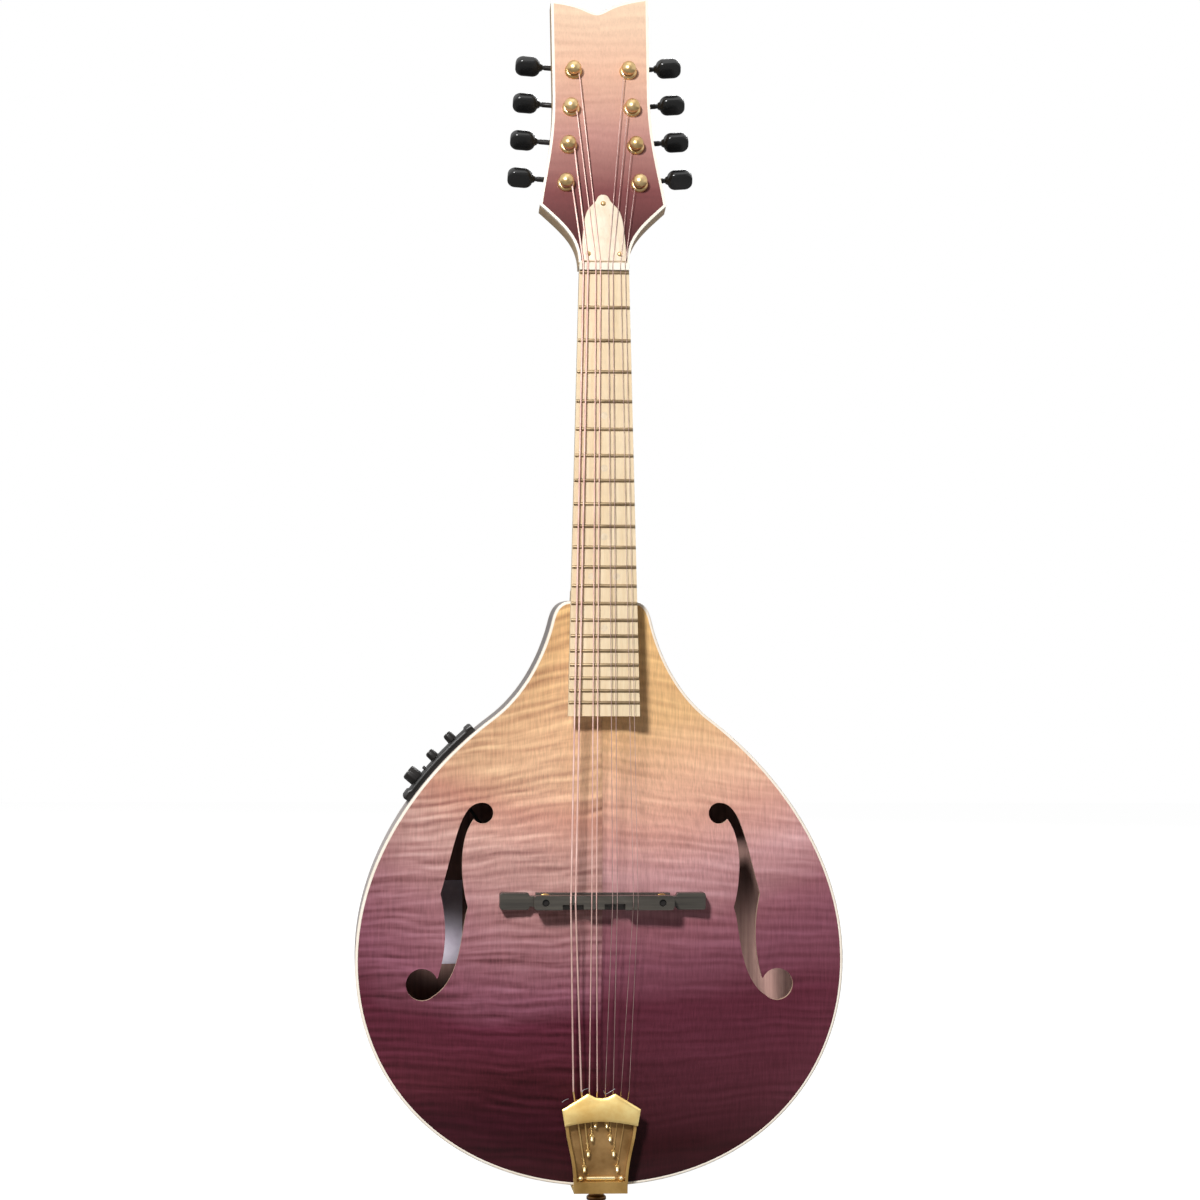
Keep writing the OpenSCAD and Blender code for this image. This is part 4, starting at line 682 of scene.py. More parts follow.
def tubeAlong(points, radius, sides=10):
    rings = []
    last = None
    for i, point in enumerate(points):
        ahead = points[min(i + 1, len(points) - 1)] - points[max(i - 1, 0)]
        ahead.normalize()
        if last is None:
            across = ahead.cross(Vector((1, 0, 0)))
            if across.length < 0.1:
                across = ahead.cross(Vector((0, 0, 1)))
        else:
            across = last - ahead * last.dot(ahead)
        across.normalize()
        last = across
        other = ahead.cross(across)
        rings.append([point + p.x * across + p.y * other for p in circlePoints(radius, sides)])
    return loft(rings)


# A smooth curve through all the points
def smoothPath(points, count):
    made = []
    for i in range(len(points) - 1):
        before = points[max(i - 1, 0)]
        a, b = points[i], points[i + 1]
        after = points[min(i + 2, len(points) - 1)]
        for k in range(count):
            t = k / count
            made.append(0.5 * (2 * a + (b - before) * t + (2 * before - 5 * a + 4 * b - after) * t * t
                               + (3 * a - before - 3 * b + after) * t ** 3))
    made.append(points[-1].copy())
    return made


def moved(shape, matrix):
    bmesh.ops.transform(shape, matrix=matrix, verts=shape.verts)
    if matrix.determinant() < 0:
        bmesh.ops.reverse_faces(shape, faces=shape.faces)
    return shape


def joined(shapes):
    total = bmesh.new()
    for shape in shapes:
        mesh = bpy.data.meshes.new("part")
        shape.to_mesh(mesh)
        shape.free()
        total.from_mesh(mesh)
        bpy.data.meshes.remove(mesh)
    return total


# Sharp edges rounded off
def bevelled(shape, width, segments=3, angle=40, where=None):
    edges = [e for e in shape.edges if len(e.link_faces) == 2
             and e.calc_face_angle(0) > math.radians(angle) and (where is None or where(e))]
    bmesh.ops.bevel(shape, geom=edges, offset=width, offset_type="OFFSET", segments=segments,
                    profile=0.5, affect="EDGES", clamp_overlap=True, material=-1)
    return shape


# What is left of a shape behind a plane, closed again
def cutOff(shape, place, outward):
    bmesh.ops.bisect_plane(shape, geom=shape.verts[:] + shape.edges[:] + shape.faces[:], dist=0.0001,
                           plane_co=place, plane_no=outward, clear_outer=True)
    bmesh.ops.holes_fill(shape, edges=[e for e in shape.edges if e.is_boundary])
    return shape


def looseObject(shape):
    mesh = bpy.data.meshes.new("part")
    shape.to_mesh(mesh)
    shape.free()
    obj = bpy.data.objects.new("part", mesh)
    bpy.context.scene.collection.objects.link(obj)
    return obj


def cutWith(shape, cutter, operation="DIFFERENCE"):
    first, second = looseObject(shape), looseObject(cutter)
    cut = first.modifiers.new("cut", "BOOLEAN")
    cut.operation = operation
    cut.object = second
    cut.solver = "EXACT"
    result = bmesh.new()
    result.from_object(first, bpy.context.evaluated_depsgraph_get())
    for obj in (first, second):
        mesh = obj.data
        bpy.data.objects.remove(obj)
        bpy.data.meshes.remove(mesh)
    return result


# A merged copy of a CAD node with its flat faces joined up
def cadCopy(name):
    shape = bmesh.new()
    shape.from_mesh(nodes[name].data)
    bmesh.ops.scale(shape, vec=(1000, 1000, 1000), verts=shape.verts)
    bmesh.ops.remove_doubles(shape, verts=shape.verts, dist=0.002)
    bmesh.ops.dissolve_limit(shape, angle_limit=math.radians(0.5), verts=shape.verts, edges=shape.edges)
    bmesh.ops.recalc_face_normals(shape, faces=shape.faces)
    for face in shape.faces:
        face.material_index = 0
    return shape


# Makes a bmesh in millimetres into a named piece that rides on a body, or on none; soften rounds its edges
def addPiece(name, shape, finish, replaces=(), body="instrument", smooth=35, soften=None):
    bmesh.ops.scale(shape, vec=(millimetre,) * 3, verts=shape.verts)
    mesh = bpy.data.meshes.new(name)
    shape.to_mesh(mesh)
    shape.free()
    mesh.shade_smooth()
    mesh.set_sharp_from_angle(angle=math.radians(smooth))
    piece = bpy.data.objects.new(name, mesh)
    bpy.context.scene.collection.objects.link(piece)
    for one in (finish if isinstance(finish, (list, tuple)) else [finish]):
        mesh.materials.append(materials[one])
    if soften:
        edge = piece.modifiers.new("softEdge", "BEVEL")
        edge.width = soften * millimetre
        edge.segments = 2
        edge.limit_method = "ANGLE"
        edge.angle_limit = math.radians(38)
        edge.harden_normals = True
    if body:
        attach(piece, body)
    if replaces:
        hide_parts(*replaces)
    return piece


# Places that the CAD nodes and the pieces share, in millimetres
tailCurve = [(0, 0), (82, 0), (137.5, 54.7), (137.5, 126.7)]
sideCurve = [(137.5, 126.7), (137.5, 189.7), (93.927, 238.497), (61.7, 262.7)]
jointCurve = [(61.7, 262.7), (40.909, 278.311), (31.6, 303), (28.2, 317)]
shoulderCurve = [(28.2, 317), (26.6, 323.6), (24.5, 328.2), (17.5, 328.8)]
edgeY = 21.0
edgeThick = 4.0
bodyLength = 325.2
archZ = 150.0
neckTilt = math.radians(3.45)
headTilt = math.radians(15.8)
nutY, nutZ = -25.9, 513.0
pivotY, pivotZ = -24.589, 518.130
scaleLength = 352.0
bridgeZ = nutZ - scaleLength * math.cos(neckTilt)
neckFrame = Matrix.Translation((0, nutY, nutZ)) @ Matrix.Rotation(-neckTilt, 4, "X")
headFrame = Matrix.Translation((0, pivotY, pivotZ)) @ Matrix.Rotation(-headTilt, 4, "X")
mirrorX = Matrix.Scale(-1, 4, (1, 0, 0))


def tunerFrame(side, row):
    turned = Matrix.Translation((20.75, 0, 48)) @ Matrix.Rotation(math.radians(-4.27), 4, "Y")
    flip = mirrorX if side == "bass" else Matrix.Identity(4)
    return headFrame @ flip @ turned @ Matrix.Translation((0, 0, 23 * row))


# The treble half of the body's outline, from the tail to the neck
def halfOutline(inset):
    made = []
    for points, count in ((tailCurve, 44), (sideCurve, 46), (jointCurve, 18), (shoulderCurve, 12)):
        line = shiftedPoints(points, count, -inset)
        made += line[:-1]
    return made + line[-1:]


def outline(inset):
    half = halfOutline(inset)
    return half + mirrored(half[1:])


# A plate's arch falls to a shallow dip near its rim and rises again to the edge; it is thinner there
plateSetup = {
    "topArch": 14.0, "backArch": 12.0, "inset": 1.6, "rim": 0.93, "dip": 0.7, "fall": 1.3,
    "thickMiddle": 4.6, "thickRim": 3.3, "sheet": (280.0, 330.0), "grid": 2.6,
}
edgeLine = halfOutline(plateSetup["inset"])
reach = [(math.atan2(p.y - archZ, p.x), (p - Vector((0, archZ))).length) for p in edgeLine]
reachAngles = [angle for angle, _ in reach]


# How far out towards the edge a place is, from 0 at the arch's top to 1
def share(x, z):
    angle = math.atan2(z - archZ, abs(x))
    i = min(max(bisect.bisect_right(reachAngles, angle), 1), len(reach) - 1)
    (angleA, reachA), (angleB, reachB) = reach[i - 1], reach[i]
    part = min(max((angle - angleA) / (angleB - angleA), 0), 1) if angleB > angleA else 0
    return math.hypot(x, z - archZ) / blend(reachA, reachB, part)


def rise(out, arch):
    rim, dip = plateSetup["rim"], plateSetup["dip"]
    if out < rim:
        return (arch + dip) * (1 + math.cos(math.pi * (out / rim) ** plateSetup["fall"])) / 2 - dip
    return -dip * (1 - min(out, 1)) / (1 - rim)


def innerRise(out, arch):
    rim = plateSetup["rim"]
    if out >= rim:
        return -edgeThick
    return rise(out, arch) - blend(plateSetup["thickMiddle"], plateSetup["thickRim"], out / rim)


# The treble f-hole: its two round eyes, and the curves of its stem between them, down the outer side
# and up the inner one; it is cut from front to back between two depths
fHoleSetup = {
    "upper": (66.5, 209.7), "upperRadius": 5.9, "lower": (100, 113.5), "lowerRadius": 9.0,
    "outerHigh": [(66.5, 215.6), (79, 215.6), (81, 196), (89.9, 164.6)],
    "outerLow": [(89.9, 164.6), (86.5, 150), (86, 134), (91.2, 117.7)],
    "innerLow": [(74.7, 157.1), (79, 146), (77, 110), (100, 104.5)],
    "innerHigh": [(74.7, 157.1), (79, 172), (80.5, 196), (70.5, 207.5)], "from": -6, "to": 10,
}


def fHole():
    hole = fHoleSetup
    line = curvePoints(hole["outerHigh"], 22) + curvePoints(hole["outerLow"], 18)[1:]
    line += curvePoints(hole["innerLow"], 22)[::-1] + curvePoints(hole["innerHigh"], 18)[1:]
    cutter = prism(line, hole["from"], hole["to"])
    for eye in ("upper", "lower"):
        circle = circlePoints(hole[eye + "Radius"], 48, hole[eye])
        cutter = cutWith(cutter, prism(circle, hole["from"], hole["to"]), "UNION")
    return cutter


# A flat sheet cut to its outline and holes, then raised into its arch; the outer face looks to -Y
def carvedPlate(arch, holes):
    width, height = plateSetup["sheet"]
    sheet = bmesh.new()
    lay = Matrix.Translation((0, 0, height / 2 - 1)) @ Matrix.Rotation(math.radians(90), 4, "X")
    bmesh.ops.create_grid(sheet, x_segments=int(width / plateSetup["grid"]),
                          y_segments=int(height / plateSetup["grid"]), size=0.5,
                          matrix=lay @ Matrix.Diagonal((width, height, 1, 1)))
    sheet = cutWith(thickened(sheet, edgeThick), prism(outline(plateSetup["inset"]), -2, 6), "INTERSECT")
    if holes:
        sheet = cutWith(sheet, joined([fHole(), moved(fHole(), mirrorX)]))
    bmesh.ops.remove_doubles(sheet, verts=sheet.verts, dist=0.02)
    for face in sheet.faces:
        middle = face.calc_center_median()
        wall = abs(face.normal.y) < 0.5 and share(middle.x, middle.z) < 0.95
        face.material_index = 1 if wall else 2 if face.normal.y > 0.5 else 0
    for vert in sheet.verts:
        out = share(vert.co.x, vert.co.z)
        vert.co.y = -edgeY - (rise if vert.co.y < 2 else innerRise)(out, arch)
    bmesh.ops.recalc_face_normals(sheet, faces=sheet.faces)
    return sheet


# The rings of a section of insets and depths along one half of the body's outline
def stripRings(section, mirror):
    lines = [halfOutline(inset) for inset, _ in section]
    return [[Vector((mirror * p.x, y, p.y)) for p, (_, y) in zip(ring, section)] for ring in zip(*lines)]


def halfStrip(section, mirror):
    return loft(stripRings(section, mirror))


# A strip round both halves, open at the neck
def edgeStrip(section):
    return loft(stripRings(section, -1)[:0:-1] + stripRings(section, 1))


addPiece("topPlate", carvedPlate(plateSetup["topArch"], True), ["stainedTop", "rawEdge", "innerMaple"],
         ["top_plate"], smooth=40)
print("top plate ready")
flipY = Matrix.Scale(-1, 4, (0, 1, 0))
addPiece("backPlate", moved(carvedPlate(plateSetup["backArch"], False), flipY),
         ["stainedBack", "rawEdge", "innerMaple"], ["back_plate"], smooth=40)

# The label's low corner, its steps across and up, and its gap from the back
labelSetup = {"low": (-106, 121), "across": 10, "up": 16, "step": 3.0, "gap": 0.15, "thick": 0.12}


# A plain slip of paper stuck to the back's inside, under the bass f-hole
def labelShape():
    slip = bmesh.new()
    rows = []
    for j in range(labelSetup["up"] + 1):
        rows.append([])
        for i in range(labelSetup["across"] + 1):
            x, z = (low + k * labelSetup["step"] for low, k in zip(labelSetup["low"], (i, j)))
            y = edgeY + innerRise(share(x, z), plateSetup["backArch"]) - labelSetup["gap"]
            rows[-1].append(slip.verts.new((x, y, z)))
    for row, above in zip(rows, rows[1:]):
        for i in range(labelSetup["across"]):
            slip.faces.new((row[i], row[i + 1], above[i + 1], above[i]))
    return thickened(slip, -labelSetup["thick"])


addPiece("insideLabel", labelShape(), "plainPaper", smooth=40)

# Insets and depths round the binding and round the ribs
bindingSection = [
    (1.6, 17), (1.6, 20.9), (1.2, 21), (0.7, 20.95), (0.25, 20.7), (0.02, 20.2), (0, 19.4), (0, 17),
]
frontBinding = edgeStrip([(inset, -y) for inset, y in bindingSection])
backBinding = edgeStrip(bindingSection)
addPiece("bodyBinding", joined([frontBinding, backBinding]), "creamBinding",
         ["body_binding"], smooth=50)
ribSection = [(0, -17), (0, -6), (0, 6), (0, 17), (2.3, 17), (2.3, -17)]
# The control panel's reach along the bass rib's curve, and the opening behind it
panelReach = (0.545, 0.912)
openingSize = (44.3, 19.3, 9.2)


# A place on the bass rib with +Z straight out of it
def ribFrame(t):
    place, slope = bezier(sideCurve, t), bezierSlope(sideCurve, t)
    turn = Matrix.Rotation(math.atan2(slope.y, -slope.x), 4, "Y")
    return mirrorX @ Matrix.Translation((place.x, 0, place.y)) @ turn


# A block whose edges along Z are rounded more than the others
def roundedBlock(size, corner, edge, cornerSteps, edgeSteps=3):
    shape = cube(Matrix.Identity(4), size)
    bevelled(shape, corner, cornerSteps,
             where=lambda e: abs((e.verts[0].co - e.verts[1].co).normalized().z) > 0.9)
    if edge:
        bevelled(shape, edge, edgeSteps, angle=60)
    return shape


opening = cube(ribFrame(sum(panelReach) / 2), openingSize)
addPiece("bassRib", cutWith(halfStrip(ribSection, -1), opening), "sideMaple", ["rib_bass"],
         smooth=40)
addPiece("trebleRib", halfStrip(ribSection, 1), "sideMaple", ["rib_treble"], smooth=40)
print("body ready")


def boardY(z):
    return nutY + (z - nutZ) * math.tan(neckTilt)


def underBoardY(z):
    return boardY(z) + 5 / math.cos(neckTilt)


# Half the board's width, a way down from the nut
def boardHalf(down):
    return blend(28.0, 40.2, down / 248.7) / 2


# Where a height meets a plane at a depth behind the headstock's face
def headY(z, depth):
    return pivotY + (z - pivotZ) * math.tan(headTilt) + depth / math.cos(headTilt)


# The shaft: its heel on the body, the step in from the board's edge, its depths at the heel and at
# the nut, how square its section is, and how it runs into the headstock (heights and depths)
neckSetup = {
    "heelHalf": 17.6, "heelBack": 17.0, "heelFlat": 9.0, "heelCurve": 34.0, "heelTop": 4, "step": 0.3,
    "deep": 15.5, "thin": 13.0, "squares": (0.5, 0.62, 0.95), "endHalf": 13.8, "headThick": 14,
    "run": ((3, -3), (6, -2.2), (10, -0.6), (14, 0.4), (17, 1)),
}


def neckSections():
    setup = neckSetup
    top = underBoardY(bodyLength)
    heelDeep = setup["heelBack"] - top + setup["heelTop"]
    atBody, atHeel, atShaft = setup["squares"]
    sections = [(bodyLength, setup["heelHalf"], top, heelDeep, atBody)]
    for i in range(25):
        a = math.radians(90 * i / 24)
        z = bodyLength + setup["heelFlat"] + setup["heelCurve"] * (1 - math.cos(a))
        grown = math.sin(a)
        half = blend(setup["heelHalf"], boardHalf(nutZ - z) - setup["step"], grown)
        sections.append((z, half, underBoardY(z), blend(heelDeep, setup["deep"], grown),
                         blend(atHeel, atShaft, grown)))
    for i in range(1, 13):
        t = i / 12
        z = blend(bodyLength + setup["heelFlat"] + setup["heelCurve"], nutZ, t)
        sections.append((z, boardHalf(max(0, nutZ - z)) - setup["step"] * (1 - t), underBoardY(z),
                         blend(setup["deep"], setup["thin"], t), blend(atShaft, 1, t)))
    for up, depth in setup["run"]:
        z = pivotZ + up
        front = max(underBoardY(z), headY(z, 2) + 0.3)
        sections.append((z, setup["endHalf"], front, headY(z, setup["headThick"]) - depth - front, 1))
    return sections


def neckRing(section, sides=36):
    z, half, front, depth, square = section
    ring = []
    for k in range(sides + 1):
        a = math.pi * k / sides
        x = math.copysign(abs(math.cos(a)) ** square, math.cos(a)) * half
        y = front + depth * max(0, math.sin(a)) ** square
        ring.append(Vector((x, min(neckSetup["heelBack"], y), z)))
    return ring


# The headstock's outline from the nut up: its side curves, and the notch between its two tips
headSetup = {
    "ear": [(14.2, 0), (14.2, 15), (22, 22.1), (35.7, 35.1)],
    "side": [(35.7, 35.1), (32.5, 57.1), (27.3, 75.1), (27.6, 105.1)],
    "tipX": 27.9, "trebleTip": 162.8, "bassTip": 160.3, "notch": (-1.5, 153.1),
    "veneer": 2, "back": 14, "edge": 1.5, "low": 0.6,
}


def headHalf(tip):
    line = curvePoints(headSetup["ear"], 24) + curvePoints(headSetup["side"], 24)[1:]
    return line + [Vector((headSetup["tipX"], tip))]


def headOutline():
    notch = Vector(headSetup["notch"])
    tipX, trebleTip, bassTip = (headSetup[key] for key in ("tipX", "trebleTip", "bassTip"))
    right = [notch, notch + Vector((5.5, 0.6)), notch + Vector((6, 6.2)), (tipX, trebleTip)]
    left = [notch, notch + Vector((-5.5, 0.3)), notch + Vector((-7.5, 5.3)), (-tipX, bassTip)]
    tips = curvePoints(right, 20)[-2::-1] + curvePoints(left, 20)[1:-1]
    return headHalf(trebleTip) + tips + mirrored(headHalf(bassTip))


def insetLine(points, inset):
    made = []
    for before, here, after in zip(points[-1:] + points[:-1], points, points[1:] + points[:1]):
        first, second = (here - before).normalized(), (after - here).normalized()
        normal = Vector((-(first.y + second.y), first.x + second.x)).normalized()
        made.append(here + normal * inset / max(0.35, normal.dot(Vector((-first.y, first.x)))))
    return made


# The tenon's outline and half its depth; the truss rod's pocket in the headstock and the nut's seat
jointSetup = {
    "tenon": [(-9, 326.2), (-12, 309.2), (12, 309.2), (9, 326.2)], "half": 17,
    "pocket": (0, 3.5, 12.5), "pocketSize": (8, 9, 23), "seat": (0, 0, 2.6), "seatSize": (56, 10, 5.2),
}
shaft = loft([neckRing(section) for section in neckSections()])
head = bevelled(prism(headOutline(), headSetup["veneer"], headSetup["back"]), 1.0, 3, 60,
                lambda e: min(v.co.y for v in e.verts) > headSetup["back"] - 0.1)
neck = cutWith(shaft, moved(head, headFrame), "UNION")
neck = cutWith(neck, prism(jointSetup["tenon"], -jointSetup["half"], jointSetup["half"]), "UNION")
for frameOf, place, size in ((headFrame, "pocket", "pocketSize"), (neckFrame, "seat", "seatSize")):
    neck = cutWith(neck, cube(frameOf @ Matrix.Translation(jointSetup[place]), jointSetup[size]))
addPiece("neckAndHead", neck, "neckMaple", ["neck"], smooth=32)

veneerLine = headOutline()
# both lines end level at the nut
inner = [p if p.y > headSetup["edge"] else Vector((p.x, headSetup["low"]))
         for p in insetLine(veneerLine, headSetup["edge"])]
veneer = prism(inner, 0, headSetup["veneer"])
addPiece("headFace", moved(veneer, headFrame), "headStain", ["head_veneer"], smooth=30)
rim = bmesh.new()
outerLoop = addLoop(rim, [(p.x, 0.1, max(p.y, headSetup["low"])) for p in veneerLine])
innerLoop = addLoop(rim, [(p.x, 0.0, p.y) for p in inner])
bmesh.ops.bridge_loops(rim, edges=outerLoop + innerLoop)
thickened(rim, headSetup["veneer"])
addPiece("headEdge", moved(rim, headFrame), "creamBinding", ["head_binding"])

# The rod cover's half outline: straight at the nut, then waist, shoulders and point
coverCurves = [
    ([(12.5, 6), (11.9, 16), (11.3, 24), (9.9, 28)], 14),
    ([(9.6, 29), (7.9, 33), (5.4, 34), (4, 36.4)], 12),
    ([(3.8, 36.8), (3.2, 38.8), (2, 40), (0, 40)], 10),
]
coverHalf = [Vector((12.5, 0)), Vector((12.5, 4.5))]
for points, count in coverCurves:
    coverHalf += curvePoints(points, count)
cover = prism(coverHalf + mirrored(coverHalf[:-1]), -1.6, 0)
bevelled(cover, 0.55, 3, 60, lambda e: max(v.co.y for v in e.verts) < -1.5)
addPiece("rodCover", moved(cover, headFrame @ Matrix.Translation((0, 0, 1))), "coverMaple",
         ["truss_rod_cover"], smooth=40)
addPiece("coverScrews", cadCopy("head_screws"), "goldPlate", ["head_screws"], smooth=50)
addPiece("board", cadCopy("fretboard"), "boardMaple", ["fretboard"], soften=0.3)
addPiece("fretWires", bevelled(cadCopy("frets"), 0.22, 3, 25), "fretBronze", ["frets"],
         smooth=60)
addPiece("zeroNut", cadCopy("nut"), "boneNut", ["nut"], soften=0.2)
print("neck ready")

# A tuner in its own frame: the post stands along Y and the key lies along X. Profiles are radii and
# places along the axis
tunerSetup = {
    "buttonPlace": (25.7, 18.9, 9.0), "buttonSize": (14.2, 11.0, 6.4), "buttonTurn": -35, "swell": 0.10,
    "buttonNeck": [(0, -4.6), (1.35, -4.6), (1.35, -1.4), (1.7, -1.3), (2.0, -1.1), (2.3, -0.4), (2.9, 0.5),
                   (2.9, 1.6), (0, 1.6)],
    "keyEnd": 16.0, "blackFrom": 8.5, "postEnd": -1.6, "domeRadius": 4.15, "domeHigh": 3.3, "domeY": -5.3,
    "postNeck": [(4.05, -4.95), (3.7, -4.65), (3.0, -4.5), (2.4, -4.42), (2.3, -4.3), (2.3, -2.4),
                 (2.5, -2.15), (2.9, -2.0), (3.0, -1.9), (3.0, -1.6), (0, -1.6)],
    "ring": [(3.05, 8), (3.05, -1.55), (3.25, -1.75), (3.7, -1.8), (4.1, -1.65), (4.55, -1.2), (4.9, -0.75),
             (5.0, -0.4), (5.0, 0), (4.0, 0), (4.0, 8), (3.05, 8)],
}


def tunerButton():
    size = tunerSetup["buttonSize"]
    block = roundedBlock(size, 4.4, 1.6, 10, 5)
    # the two broad faces swell a little
    for vert in block.verts:
        x, y = vert.co.x / size[0] * 2, vert.co.y / size[1] * 2
        vert.co.z *= 1.0 - tunerSetup["swell"] * (x * x + y * y) / 2
    bmesh.ops.recalc_face_normals(block, faces=block.faces)
    moved(block, Matrix.Rotation(math.radians(tunerSetup["buttonTurn"]), 4, "X"))
    lie = Matrix.Translation((-size[0] / 2, 0, 0)) @ Matrix.Rotation(math.radians(-90), 4, "Z")
    return joined([block, moved(spun(tunerSetup["buttonNeck"], 28), lie)])


def postFront():
    radius, high, low = (tunerSetup[key] for key in ("domeRadius", "domeHigh", "domeY"))
    dome = [(radius * math.sin(a), low - high * math.cos(a)) for a in (math.pi / 18 * k for k in range(10))]
    return spun(dome + tunerSetup["postNeck"])


bushings = []
for side in ("bass", "treble"):
    for row in range(4):
        place = tunerFrame(side, row)
        back = place.inverted()
        name = f"{side}_{row + 1}"
        key = cutOff(moved(cadCopy(f"key_{name}"), back), (tunerSetup["keyEnd"], 0, 0), (1, 0, 0))
        for face in key.faces:
            face.material_index = 1 if face.calc_center_median().x > tunerSetup["blackFrom"] else 0
        addPiece(f"keyShaft_{name}", moved(key, place), ["goldPlate", "blackSatin"],
                 body=f"key_{name}", smooth=30)
        button = moved(tunerButton(), place @ Matrix.Translation(tunerSetup["buttonPlace"]))
        addPiece(f"keyButton_{name}", button, "blackGloss", [f"key_{name}"],
                 body=f"key_{name}", smooth=45)
        post = cutOff(moved(cadCopy(f"post_{name}"), back), (0, tunerSetup["postEnd"], 0), (0, -1, 0))
        addPiece(f"postTop_{name}", moved(joined([post, postFront()]), place), "goldPlate",
                 [f"post_{name}"], body=f"post_{name}", smooth=38)
        bushings.append(moved(spun(tunerSetup["ring"]), place))
addPiece("postRings", joined(bushings), "goldPlate", ["tuner_bushings"], smooth=35)
for side in ("bass", "treble"):
    addPiece(f"machinePlate_{side}", cadCopy(f"tuner_plate_{side}"), "goldPlate",
             [f"tuner_plate_{side}"], soften=0.25)
print("tuners ready")

addPiece("bridgeFoot", cadCopy("bridge_base"), "ebony", ["bridge_base"], soften=1.1)
addPiece("bridgeCrest", cadCopy("bridge_saddle"), "ebony", ["bridge_saddle"], body="saddle",
         soften=0.35)
# painted shade: the steel studs sit sunk in their holes and are given the black finish so the holes read dark
addPiece("bridgeStuds", cadCopy("bridge_posts"), "blackSatin", ["bridge_posts"], soften=0.3)
# The wheels' teeth, their low and high radii, the bore, half the thickness, and where they stand
wheelSetup = {"teeth": 40, "low": 4.5, "high": 4.8, "bore": 1.95, "half": 1.1, "x": 32.5, "up": 21.4}


def knurledWheel():
    rim = circlePoints(1, 2 * wheelSetup["teeth"])
    rim = [p * wheelSetup["high" if i % 2 else "low"] for i, p in enumerate(rim)]
    wheel = bevelled(prism(rim, -wheelSetup["half"], wheelSetup["half"]), 0.3, 2, 60,
                     lambda e: abs((e.verts[0].co - e.verts[1].co).y) < 0.1)
    return cutWith(wheel, prism(circlePoints(wheelSetup["bore"], 32), -2, 2))


for side, x in (("bass", -wheelSetup["x"]), ("treble", wheelSetup["x"])):
    wheel = moved(knurledWheel(), Matrix.Translation((x, -edgeY - wheelSetup["up"], bridgeZ)))
    addPiece(f"adjustWheel_{side}", wheel, "brass", [f"bridge_wheel_{side}"],
             body=f"wheel_{side}", smooth=35)
print("bridge ready")

# Heights above the body's edge: the tailpiece's floor and crown, and the saddle's top
floorH, railH, castingT, saddleTop = 7.6, 6.0, 2.0, 30.2
# The strings' thicknesses by pair, how far they spread, where their hooks stand and which each takes,
# how they lie on the crown and the nut, and how they wind round their posts
stringSetup = {
    "gauges": [1.0, 0.66, 0.4, 0.3], "nutSpread": 23.6, "bridgeSpread": 37.4, "tailSpread": 31.2,
    "pairGap": 2.6, "hooks": [(3.2, 37), (5.1, 29.5), (7.1, 21), (9.2, 12.5)],
    "hookOf": [3, 2, 1, 0, 0, 1, 2, 3], "hookAhead": 1.3, "hookUp": 0.9, "crownZ": 55, "crownSink": 0.6,
    "saddleSink": 0.3, "clear": 0.05, "nutTop": 1.1, "nutLong": 5.2, "postRadius": 2.32, "windFrom": -3.85,
    "windPitch": 0.9, "turns": 2, "turnSteps": 22,
}


# The tailpiece, with a raised field on its crown, and a darker floor and inner rail walls between its rails:
# partly a brushed finish, partly painted shade of the recess
def anchorShape():
    shape = cadCopy("tailpiece")
    front, floor = -edgeY - floorH - railH - castingT, -edgeY - floorH - castingT
    flat = [f for f in shape.faces if abs(f.calc_center_median().y - front) < 0.05]
    crown = max(flat, key=lambda f: f.calc_area())
    for face in shape.faces:
        middle, normal = face.calc_center_median(), face.normal
        onFloor = abs(middle.y - floor) < 0.1 and abs(normal.y) > 0.9
        between = floor - railH < middle.y < floor and middle.z < 38
        wall = between and abs(normal.y) < 0.1 and normal.x * middle.x < 0 and abs(middle.x) > 11
        rail = normal.y < -0.9 and abs(middle.y - floor + railH / 2 + 0.5) < railH / 2 and middle.z < 38
        # painted shade: the floor and the rails' inner walls take the darker gold
        face.material_index = 1 if onFloor or wall else 2 if rail else 0
    for thickness, depth in ((0.9, 0.35), (1.1, 0.2)):
        bmesh.ops.inset_region(shape, faces=[crown], thickness=thickness, depth=depth, use_even_offset=True)
    return shape


quarterTurn = [math.pi / 12 * k for k in range(7)]
# The cover's hinge, as profiles of radii and places along it, and the prongs on the floor's pegs
anchorSetup = {
    "rod": [(0, -13.9), (0.5, -13.9), (0.5, 13.9), (0, 13.9)],
    "sleeve": [(0, -8.1), (0.8, -8.1), (1.05, -7.85), (1.05, 7.85), (0.8, 8.1), (0, 8.1)],
    "collarX": 11.3, "collarAhead": 0.3, "collar": (1.5, 3.2), "prong": (0.95, 4.2), "prongTurn": 62,
    "prongAhead": 2.4, "prongDown": 0.9,
}


# A round-ended pin along Y, its middle at the origin
def capsule(radius, length, steps=20):
    half = length / 2 - radius
    end = [(radius * math.sin(a), -half - radius * math.cos(a)) for a in quarterTurn]
    return spun(end + [(r, -y) for r, y in reversed(end)], steps)


# The cover's hinge: a thin rod with a thick sleeve on it and a round collar at each end
def anchorBarShape():
    lie = Matrix.Rotation(math.radians(90), 4, "Z")
    verts = nodes["tailpiece_bar"].data.vertices
    middle = sum((v.co for v in verts), Vector()) / len(verts) / millimetre
    rod, sleeve = spun(anchorSetup["rod"], 20), spun(anchorSetup["sleeve"], 28)
    for face in rod.faces:
        face.material_index = 1
    bar = [moved(rod, lie), moved(sleeve, lie)]
    for x in (-anchorSetup["collarX"], anchorSetup["collarX"]):
        place = Matrix.Translation((x, -anchorSetup["collarAhead"], 0))
        bar.append(moved(capsule(*anchorSetup["collar"]), place))
    return moved(joined(bar), Matrix.Translation((0, middle.y, middle.z)))


